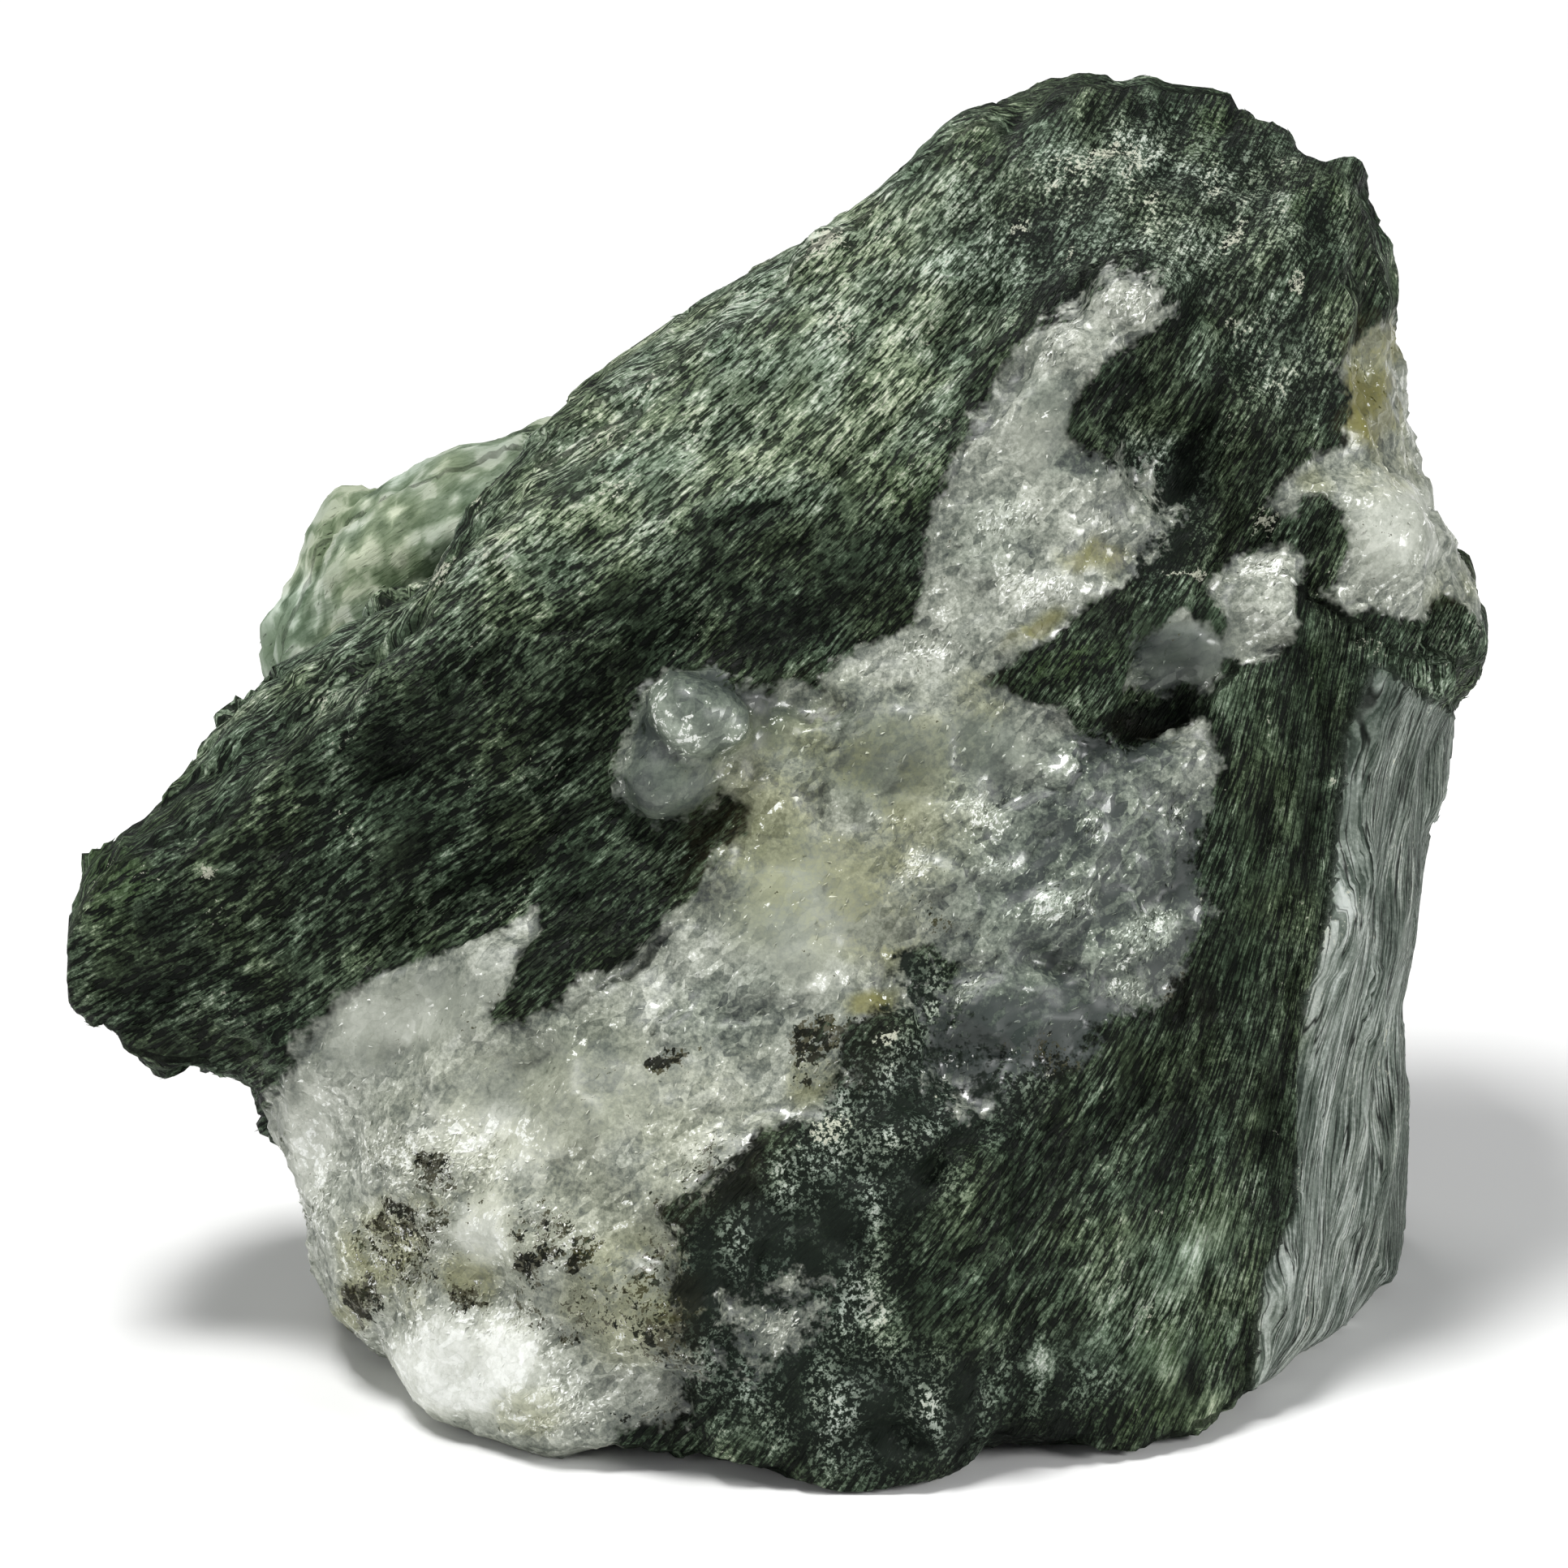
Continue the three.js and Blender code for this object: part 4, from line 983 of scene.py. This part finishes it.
class NodeWeb:
    """A tree of nodes, to which nodes are added."""

    def __init__(self, tree: bpy.types.NodeTree) -> None:
        """Takes an empty tree."""
        self.tree = tree

    def node(
        self, kind: str, settings: dict[str, Any], inputs: dict[str | int, Any],
        output: str | int = 0,
    ) -> Signal:
        """Adds a node.

        Args:
            kind: the node's type.
            settings: its properties, and under "stops" a colour ramp's stops, set first.
            inputs: values or signals, by a socket's identifier, name or number.
            output: the output's identifier, name or number.

        Returns:
            The node's output.
        """
        made = self.tree.nodes.new(kind)
        for name, value in settings.items():
            if name == "stops":
                self._set_stops(made.color_ramp, value)
            else:
                setattr(made, name, value)
        for key, value in inputs.items():
            socket = self._socket(made.inputs, key)
            if isinstance(value, Signal):
                self.tree.links.new(value.socket, socket)
            elif isinstance(value, tuple) and len(value) == 3 and socket.type == "RGBA":
                socket.default_value = (*value, 1.0)
            else:
                socket.default_value = value
        return Signal(self, self._socket(made.outputs, output))

    @staticmethod
    def _socket(sockets: Any, key: str | int) -> bpy.types.NodeSocket:
        """Finds a socket by its identifier, name or number."""
        if isinstance(key, int):
            return sockets[key]
        return next((s for s in sockets if s.identifier == key), None) or sockets[key]

    @staticmethod
    def _set_stops(ramp: bpy.types.ColorRamp, stops: Tones) -> None:
        """Sets a colour ramp's stops."""
        while len(ramp.elements) < len(stops):
            ramp.elements.new(1.0)
        for element, (position, colour) in zip(ramp.elements, stops):
            element.position = position
            element.color = (*colour, 1.0)

    def attribute(self, name: str, output: str = "Fac") -> Signal:
        """Reads an attribute of the skin."""
        return self.node("ShaderNodeAttribute", {"attribute_name": name}, {}, output)

    def tint(self, tint: Tint) -> Signal:
        """Reads a tint of the skin."""
        return self.attribute(tint.value)

    def noise(self, where: Signal, scale: float, detail: float, rough: float) -> Signal:
        """Noise around 0.5."""
        inputs = {"Vector": where, "Scale": scale, "Detail": detail, "Roughness": rough}
        return self.node("ShaderNodeTexNoise", {}, inputs)

    def stretch(self, where: Signal, scale: Triple) -> Signal:
        """Scales coordinates."""
        return self.node("ShaderNodeMapping", {}, {"Vector": where, "Scale": scale})

    def mix(self, factor: Any, one: Any, other: Any, blend: str = "MIX") -> Signal:
        """Mixes two colours."""
        settings = {"data_type": "RGBA", "blend_type": blend}
        inputs = {"Factor_Float": factor, "A_Color": one, "B_Color": other}
        return self.node("ShaderNodeMix", settings, inputs, "Result_Color")

    def ramp(self, value: Signal, stops: Tones) -> Signal:
        """Turns a value into a colour."""
        return self.node("ShaderNodeValToRGB", {"stops": stops}, {"Fac": value}, "Color")

    def surface(self, height: Signal, distance: float, **inputs: Any) -> Signal:
        """Adds a principled shader over a bump.

        Args:
            height: the bump's height, 0 to 1.
            distance: how high a height of 1 stands, in metres.
            inputs: the shader's other inputs, with a low line for a space.

        Returns:
            The shader.
        """
        bump = {"Strength": 1.0, "Distance": distance, "Height": height}
        normal = self.node("ShaderNodeBump", {}, bump, "Normal")
        named = {name.replace("_", " "): value for name, value in inputs.items()}
        return self.node("ShaderNodeBsdfPrincipled", {}, {**named, "Normal": normal})


@dataclass(frozen=True)
class TourmalineFinish:
    """Fibrous green tourmaline, from near-black gaps to silvery fibres."""

    tones: Tones = (
        (0.00, (0.003, 0.0045, 0.003)),
        (0.22, (0.012, 0.018, 0.010)),
        (0.42, (0.034, 0.052, 0.030)),
        (0.62, (0.105, 0.145, 0.092)),
        (0.82, (0.27, 0.33, 0.24)),
        (1.00, (0.55, 0.60, 0.50)),
    )
    moss: Colour = (0.040, 0.075, 0.018)
    cream: Colour = (0.52, 0.53, 0.42)
    rust: Colour = (0.085, 0.072, 0.026)
    umber: Colour = (0.012, 0.011, 0.005)
    olive: Colour = (1.0, 0.98, 0.62)
    steel: Colour = (0.86, 0.97, 1.0)
    silk: Tones = (
        (0.20, (0.012, 0.018, 0.013)),
        (0.45, (0.060, 0.078, 0.065)),
        (0.70, (0.185, 0.210, 0.190)),
        (0.95, (0.480, 0.510, 0.490)),
    )
    bump: float = 0.00016  # m, the fibres' relief
    dull: float = 0.60  # the roughness of the dullest places
    sheen: float = 0.09  # the strength of the mirror light

    def shade(self, web: NodeWeb, grain: Signal, place: Signal) -> Signal:
        """Adds the shader.

        Args:
            web: the material's web.
            grain: the fibre coordinates, in mm.
            place: object coordinates, in mm.

        Returns:
            The shader.
        """
        names = ("tone", "crest", "mottle", "side", "face", "hue")
        own, crest, mottle, side, face, hue = (web.attribute(name) for name in names)
        kinds = (Tint.COARSE, Tint.SPECK, Tint.STAIN, Tint.PALE_AND_GLINTING)
        coarse, speck, stain, pale = (web.tint(kind) for kind in kinds)
        rough = 1.0 - web.tint(Tint.SMOOTH) * 0.8
        # The light tint brings painted light and the dark tint painted shade, along with the tourmaline's
        # own paler and darker patches.
        light = web.tint(Tint.LIGHT) - web.tint(Tint.DARK) * 0.55
        # Streaks and seams run along the fibres, and grit lies on them.
        streaks = web.noise(web.stretch(grain, (6.0, 0.95, 1.0)), 1.0, 1.6, 0.8)
        seams = web.noise(web.stretch(grain, (3.2, 0.45, 1.0)), 1.0, 1.0, 0.7)
        grit = web.noise(place, 4.4, 2.0, 0.8)
        flecks = streaks.between(0.40, 0.50) * 0.64 + streaks.between(0.55, 0.68) * 0.36 - 0.56
        bits = grit.between(0.40, 0.60) - 0.5
        # The tone is that of the patches and the mottling, with painted light on the crests and painted
        # shade in the hollows, and the streaks and the grit on top.
        tone = 0.30 + light * 0.34 + mottle * (0.54 + coarse * 1.25 + face * 0.14)
        tone = tone + crest * 0.11 + own * 0.15
        flecks = flecks * (0.72 - coarse * 0.48 - face * 0.12 - side * 0.20) * rough
        bits = bits * (0.22 + coarse * 0.68 - side * 0.12) * rough
        tone = tone + flecks + bits - coarse * 0.16 - speck * 0.34
        colour = web.ramp(tone, self.tones)
        # The hue drifts, the side and the granular patches turn silky, and patches grow mossy.
        colour = web.mix(hue.between(-0.02, 0.18) * 0.28, colour, self.olive, "MULTIPLY")
        colour = web.mix(hue.between(0.02, -0.20) * 0.4, colour, self.steel, "MULTIPLY")
        silk = (side * 0.8).larger(coarse * 0.6)
        colour = web.mix(silk, colour, web.ramp(tone, self.silk))
        moss = web.tint(Tint.MOSS) * mottle.between(-0.2, 0.1)
        mossy = web.mix(tone.between(0.1, 0.75), self.tones[0][1], self.moss)
        colour = web.mix(moss * 0.7, colour, mossy)
        stain = stain * (1.0 - coarse) * mottle.between(-0.2, 0.05)
        colour = web.mix(stain * 0.5, colour, self.rust)
        colour = web.mix(speck * 0.4, colour, self.umber)
        # Cream specks and painted glints lie on top, and dark gaps part the fibres.
        pale = grit * 1.25 + mottle * 0.6 + pale * 0.35 + light * 0.05
        pale = ((pale - 0.62) * rough).between(0.30, 0.42)
        colour = web.mix(pale * 0.85, colour, self.cream)
        gap = 1.0 - (seams - 0.5).absolute().between(0.0, 0.040)
        gap = gap * (0.60 + face * 0.35) * (1.0 - coarse * 0.75) * (1.0 - pale * 0.6) * rough
        colour = web.mix(gap, colour, self.tones[0][1])
        roughness = self.dull - grit.between(0.5, 0.7) * 0.22
        return web.surface(
            flecks * 1.3, self.bump, Base_Color=colour, Roughness=roughness,
            Specular_IOR_Level=self.sheen,
        )


@dataclass(frozen=True)
class QuartzFinish:
    """Milky quartz, with sugary grains, clearer grey stretches and stains."""

    tones: Tones = (
        (0.00, (0.036, 0.044, 0.040)),
        (0.25, (0.128, 0.145, 0.118)),
        (0.50, (0.300, 0.320, 0.266)),
        (0.75, (0.545, 0.565, 0.495)),
        (1.00, (0.880, 0.900, 0.850)),
    )
    smoke: Colour = (0.88, 0.98, 0.94)
    ochre: Colour = (0.175, 0.165, 0.050)
    gold: Colour = (0.98, 0.97, 0.60)
    umber: Colour = (0.030, 0.028, 0.003)
    shard_turn: Triple = (0.3, -0.7, 0.4)  # radians
    shards: Triple = (0.70, 0.45, 0.28)  # mm, how large the facets are each way
    bump: float = 0.00022  # m, the grains' relief
    dull: float = 0.48  # the roughness of the dullest places
    refraction: float = 1.54

    def shade(self, web: NodeWeb, place: Signal) -> Signal:
        """Adds the shader.

        Args:
            web: the material's web.
            place: object coordinates, in mm.

        Returns:
            The shader.
        """
        names = ("tone", "crest", "cloud", "plane", "chip")
        own, crest, cloud, plane, chip = (web.attribute(name) for name in names)
        kinds = (Tint.CLEAR, Tint.WHITE, Tint.SMOOTH, Tint.STAIN, Tint.COARSE)
        clear, white, smooth, stain, coarse = (web.tint(kind) for kind in kinds)
        # Fine noise and flat shards make the sugary grain.
        fine = web.noise(place, 4.0, 2.0, 0.8) - 0.5
        turned = web.node(
            "ShaderNodeMapping",
            {"vector_type": "TEXTURE"},
            {"Vector": place, "Rotation": self.shard_turn, "Scale": self.shards},
        )
        cells = web.node("ShaderNodeTexVoronoi", {}, {"Vector": turned, "Scale": 1.0}, "Color")
        facet = web.node("ShaderNodeSeparateColor", {}, {"Color": cells}, "Red") - 0.5
        rim = 1.0 - web.attribute("quartz").between(0.0, 2.2)
        tone = 0.46 - clear * 0.34 + white * (0.24 + smooth * 0.24) - stain * 0.10
        tone = tone - coarse * 0.20 - rim * (0.05 + clear * (1.0 - smooth) * 0.26)
        tone = tone + plane * 0.09 + chip * 0.08
        # Painted light on the crests and painted shade in the hollows come in with the clouds and the fine
        # grain.
        tone = tone + cloud * (0.23 - white * 0.10) + fine * (0.95 - smooth * 0.80) + crest * 0.10
        tone = tone + facet * (0.32 + clear * 0.08) * (1.0 - smooth * 0.85) + own * 0.5
        # Painted glints: bright specks, thickest in the white patches, where the grains' facets would
        # catch the light.
        glint = fine * 1.6 + facet * 0.70 + cloud * 0.6 + white * 0.30 - smooth * 0.08
        glint = glint.between(0.50, 0.57)
        colour = web.ramp(tone, self.tones)
        # Smoke in the clear stretches, iron stain, dark dirt and painted glints, in that order.
        colour = web.mix(clear * 0.7, colour, self.smoke, "MULTIPLY")
        deep = stain * stain
        stain = stain * (cloud * 1.8 + fine * 1.2 + chip * 0.4 + 0.5).between(0.15, 0.70)
        colour = web.mix(stain * 0.95, colour, self.gold, "MULTIPLY")
        colour = web.mix(stain * 0.4 + deep * 0.5, colour, self.ochre)
        dirt = web.tint(Tint.SPECK) * 0.64 + fine * 1.8 + chip * 0.3
        colour = web.mix(dirt.between(0.38, 0.54) * 0.95, colour, self.umber)
        colour = web.mix(glint * 0.8, colour, self.tones[-1][1])
        height = facet * 1.1 * (1.0 - smooth * 0.75) * (0.6 + clear * 0.5)
        roughness = self.dull - facet.between(0.1, 0.4) * 0.26
        return web.surface(
            height, self.bump, Base_Color=colour, Roughness=roughness, IOR=self.refraction
        )


class Share(Enum):
    """Which minerals a material shows."""

    BOTH = "tourmaline_in_quartz"
    TOURMALINE = "tourmaline_fibre"
    QUARTZ = "quartz_grain"


@dataclass(frozen=True)
class StoneFinish:
    """The stone's two minerals, and the ragged boundary between them."""

    tourmaline: TourmalineFinish = TourmalineFinish()
    quartz: QuartzFinish = QuartzFinish()

    def material(self, share: Share) -> bpy.types.Material:
        """Makes the material.

        Args:
            share: which minerals it shows.

        Returns:
            The material.
        """
        material = bpy.data.materials.new(share.value)
        material.use_nodes = True
        material.node_tree.nodes.clear()
        web = NodeWeb(material.node_tree)
        surface = self._surface(web, share)
        output = material.node_tree.nodes.new("ShaderNodeOutputMaterial")
        web.tree.links.new(surface.socket, output.inputs["Surface"])
        return material

    def _surface(self, web: NodeWeb, share: Share) -> Signal:
        """Adds the shaders of a material."""
        object_place = web.node("ShaderNodeTexCoord", {}, {}, "Object")
        place = web.stretch(object_place, (1.0 / MM,) * 3)
        grain = web.attribute("grain", "Vector")
        if share is Share.QUARTZ:
            return self.quartz.shade(web, place)
        green = self.tourmaline.shade(web, grain, place)
        if share is Share.TOURMALINE:
            return green
        ragged = web.noise(place, 0.75, 3.0, 0.75) - 0.5
        fine = web.noise(place, 2.8, 2.0, 0.8) - 0.5
        inside = web.attribute("edge") + ragged * web.attribute("fray")
        inside = (inside + fine * web.attribute("frost")).between(-0.24, 0.20)
        speck = web.tint(Tint.SPECK) * 0.62 + ragged * 0.7 + fine * 1.5
        speck = speck.between(0.44, 0.52)
        inside = inside * (1.0 - speck * 0.95)
        white = self.quartz.shade(web, place)
        return web.node("ShaderNodeMixShader", {}, {0: inside, 1: green, 2: white})


@dataclass
class Growth:
    """Small forms scattered over a part of the stone's skin, half sunk in it."""

    ground: Ground
    count: int
    low: Triple  # mm, the least height, width and length
    high: Triple  # mm, the most
    turn: Triple  # degrees, the most that one turns off its line
    sink: float  # mm, how far the middles lie below the skin
    material: bpy.types.Material
    seed: int

    def build(self, stone: bpy.types.Object) -> bpy.types.Object:
        """Scatters the forms over the stone.

        Args:
            stone: the stone's skin.

        Returns:
            One plain mesh object of all the forms.
        """
        carrier = linked("carrier", stone.data.copy())
        tree = bpy.data.node_groups.new(self.ground.value, "GeometryNodeTree")
        modifier = carrier.modifiers.new("growth", "NODES")
        self._wire(tree)
        modifier.node_group = tree
        values = {
            "Density": self._density(stone.data), "Smallest": tuple(v * MM for v in self.low),
            "Largest": tuple(v * MM for v in self.high),
            "Turn": tuple(math.radians(angle) for angle in self.turn),
            "Sink": self.sink * MM, "Seed": self.seed,
        }
        for item in tree.interface.items_tree:
            if item.name in values:
                modifier[item.identifier] = values[item.name]
        piece = baked(carrier, self.ground.value)
        kept_inside(piece.data)
        return piece

    def _density(self, mesh: bpy.types.Mesh) -> float:
        """How many forms a square metre of the ground holds."""
        cover = read(mesh.attributes[self.ground.value].data, "value")
        return self.count / (read(mesh.polygons, "area").sum() * cover.mean())

    def _wire(self, tree: bpy.types.NodeTree) -> None:
        """Wires the tree that scatters the forms."""
        face = tree.interface
        face.new_socket("Skin", in_out="INPUT", socket_type="NodeSocketGeometry")
        for name, kind in (
            ("Density", "Float"), ("Smallest", "Vector"), ("Largest", "Vector"),
            ("Turn", "Vector"), ("Sink", "Float"), ("Seed", "Int"),
        ):
            face.new_socket(name, in_out="INPUT", socket_type="NodeSocket" + kind)
        face.new_socket("Forms", in_out="OUTPUT", socket_type="NodeSocketGeometry")
        web = NodeWeb(tree)
        sockets = tree.nodes.new("NodeGroupInput").outputs
        given = {socket.name: Signal(web, socket) for socket in sockets if socket.name}
        seed = given["Seed"]
        cover = self._named(web, self.ground.value, "FLOAT")
        scatter = web.node(
            "GeometryNodeDistributePointsOnFaces", {"distribute_method": "RANDOM"},
            {"Mesh": given["Skin"], "Density": given["Density"] * cover, "Seed": seed}, "Points",
        )
        normal = Signal(web, scatter.socket.node.outputs["Normal"])
        line = web.node(
            "FunctionNodeAxesToRotation", {"primary_axis": "X", "secondary_axis": "Z"},
            {0: normal, 1: self._named(web, "run", "FLOAT_VECTOR")},
        )
        turn = self._drawn(web, self._scaled(web, given["Turn"], -1.0), given["Turn"], seed + 1)
        euler = web.node("FunctionNodeEulerToRotation", {}, {0: turn})
        turned = web.node(
            "FunctionNodeRotateRotation", {"rotation_space": "LOCAL"}, {0: line, 1: euler}
        )
        size = self._drawn(web, given["Smallest"], given["Largest"], seed + 2)
        sunk = self._scaled(web, normal, 0.0 - given["Sink"])
        placed = web.node("GeometryNodeSetPosition", {}, {"Geometry": scatter, "Offset": sunk})
        forms = web.node(
            "GeometryNodeInstanceOnPoints", {},
            {"Points": placed, "Instance": self._form(web), "Rotation": turned, "Scale": size},
        )
        tone = web.node(
            "FunctionNodeRandomValue", {"data_type": "FLOAT"},
            {"Min_001": 0.0, "Max_001": 1.0, "Seed": seed + 3}, "Value_001",
        )
        toned = web.node(
            "GeometryNodeStoreNamedAttribute", {"data_type": "FLOAT", "domain": "INSTANCE"},
            {"Geometry": forms, "Name": "tone", "Value": tone},
        )
        solid = web.node("GeometryNodeRealizeInstances", {}, {"Geometry": toned})
        flat = web.node("GeometryNodeSetShadeSmooth", {}, {"Geometry": solid, "Shade Smooth": False})
        dressed = web.node(
            "GeometryNodeSetMaterial", {}, {"Geometry": flat, "Material": self.material}
        )
        tree.links.new(dressed.socket, tree.nodes.new("NodeGroupOutput").inputs[0])

    @staticmethod
    def _form(web: NodeWeb) -> Signal:
        """One form, a unit across: a spindle, pointed at both ends."""
        size = {"Vertices": 4, "Radius Top": 0.0, "Radius Bottom": 0.5, "Depth": 0.5}
        cone = web.node("GeometryNodeMeshCone", {"fill_type": "NONE"}, size)
        upside_down = {"Geometry": cone, "Rotation": (math.pi, 0.0, 0.0)}
        other = web.node("GeometryNodeTransform", {}, upside_down)
        join = web.tree.nodes.new("GeometryNodeJoinGeometry")
        for half in (cone, other):
            web.tree.links.new(half.socket, join.inputs[0])
        joined = {"Geometry": Signal(web, join.outputs[0]), "Distance": 0.001}
        return web.node("GeometryNodeMergeByDistance", {}, joined)

    @staticmethod
    def _named(web: NodeWeb, name: str, kind: str) -> Signal:
        """Reads an attribute of the skin in the tree."""
        return web.node("GeometryNodeInputNamedAttribute", {"data_type": kind}, {"Name": name})

    @staticmethod
    def _scaled(web: NodeWeb, vector: Signal, factor: Any) -> Signal:
        """A vector times a number."""
        inputs = {0: vector, "Scale": factor}
        return web.node("ShaderNodeVectorMath", {"operation": "SCALE"}, inputs)

    @staticmethod
    def _drawn(web: NodeWeb, low: Signal, high: Signal, seed: Signal) -> Signal:
        """A random vector between two others."""
        inputs = {"Min": low, "Max": high, "Seed": seed}
        return web.node("FunctionNodeRandomValue", {"data_type": "FLOAT_VECTOR"}, inputs)


def kept_inside(mesh: bpy.types.Mesh) -> None:
    """Draws a mesh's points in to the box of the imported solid."""
    low, high = (np.array(corner) for corner in CAD_BOX)
    mesh.vertices.foreach_set("co", np.clip(points_of(mesh) * MM, low, high).ravel())
    mesh.update()


@dataclass
class Studio:
    """A pale floor, soft lights and the camera."""

    floor_size: float = 6.0  # m
    floor_colour: Colour = (0.86, 0.86, 0.85)
    floor_roughness: float = 0.9
    sky: Colour = (0.93, 0.95, 1.0)
    sky_strength: float = 0.17
    aim: Triple = (0.0, 0.0, 0.02)  # m, where the lights point
    lights: tuple[tuple[str, Triple, float, float], ...] = (  # name, place and size in m, watts
        ("key", (-0.14, -0.06, 0.60), 0.16, 3.4),
        ("side", (0.55, -0.28, 0.30), 0.22, 2.6),
        ("fill", (-0.55, -0.35, 0.22), 0.30, 0.8),
        ("rim", (-0.20, 0.50, 0.45), 0.30, 1.2),
    )

    def build(self) -> None:
        """Sets up the floor, the lights and the camera."""
        self._floor()
        self._world()
        for light in self.lights:
            self._light(*light)
        self._camera()

    def _floor(self) -> None:
        """A wide pale floor."""
        half = self.floor_size / 2
        mesh = bpy.data.meshes.new("floor")
        corners = [(-half, -half, 0), (half, -half, 0), (half, half, 0), (-half, half, 0)]
        mesh.from_pydata(corners, [], [(0, 1, 2, 3)])
        material = bpy.data.materials.new("floor")
        material.use_nodes = True
        shader = material.node_tree.nodes["Principled BSDF"]
        shader.inputs["Base Color"].default_value = (*self.floor_colour, 1.0)
        shader.inputs["Roughness"].default_value = self.floor_roughness
        mesh.materials.append(material)
        floor = linked("floor", mesh)

    def _world(self) -> None:
        """Soft light from all round."""
        world = bpy.data.worlds.new("studio")
        world.use_nodes = True
        background = world.node_tree.nodes["Background"]
        background.inputs["Color"].default_value = (*self.sky, 1.0)
        background.inputs["Strength"].default_value = self.sky_strength
        bpy.context.scene.world = world

    def _light(self, name: str, place: Triple, size: float, power: float) -> None:
        """A square soft light that faces the stone."""
        data = bpy.data.lights.new(name, "AREA")
        data.size = size
        data.energy = power
        light = linked(name, data)
        light.location = place
        aim = Vector(self.aim) - light.location
        light.rotation_euler = aim.to_track_quat("-Z", "Y").to_euler()

    def _camera(self) -> None:
        """The eye that the sheet is drawn for."""
        data = bpy.data.cameras.new("eye")
        data.sensor_width = 36.0
        data.lens = data.sensor_width * EYE_DISTANCE / SHEET_WIDTH
        data.clip_start = 0.01
        camera = linked("eye", data)
        camera.location = Vector((SHEET_MIDDLE + Sheet().toward * EYE_DISTANCE) * MM)
        camera.rotation_euler = (math.pi / 2 - SHEET_LEAN, 0.0, 0.0)
        bpy.context.scene.camera = camera


# The least and the most height, width and length of a form, in mm, how far it turns off its
# line, in degrees, and how far it is sunk in the skin, in mm.
FIBRE = ((0.04, 0.06, 0.4), (0.09, 0.11, 0.9), (2, 2, 4), 0.025)
FLAKE = ((0.03, 0.08, 0.15), (0.06, 0.18, 0.50), (40, 40, 180), 0.01)
FIBRES = ((Ground.UPPER, 8000, 101), (Ground.LOWER, 8000, 102), (Ground.BACK, 12000, 103))
FLAKE_COUNT = 7000
FLAKE_SEED = 104


def main() -> None:
    """Builds the stone and its surroundings."""
    logging.basicConfig(level=logging.INFO, format="%(name)s: %(message)s")
    finish = StoneFinish()
    stone = StoneSkin().build()
    stone.data.materials.append(finish.material(Share.BOTH))
    fibre = finish.material(Share.TOURMALINE)
    flake = finish.material(Share.QUARTZ)
    growths = [Growth(ground, count, *FIBRE, fibre, seed) for ground, count, seed in FIBRES]
    growths.append(Growth(Ground.QUARTZ, FLAKE_COUNT, *FLAKE, flake, FLAKE_SEED))
    pieces = [stone] + [growth.build(stone) for growth in growths]
    for piece in pieces:
        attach(piece, "root")
        LOG.info("%s: %d faces", piece.name, len(piece.data.polygons))
    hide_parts(NODE)
    Studio().build()
    bpy.context.scene.view_settings.view_transform = "Standard"
    LOG.info("studio: floor, lights and camera")


if __name__ == "__main__":
    main()
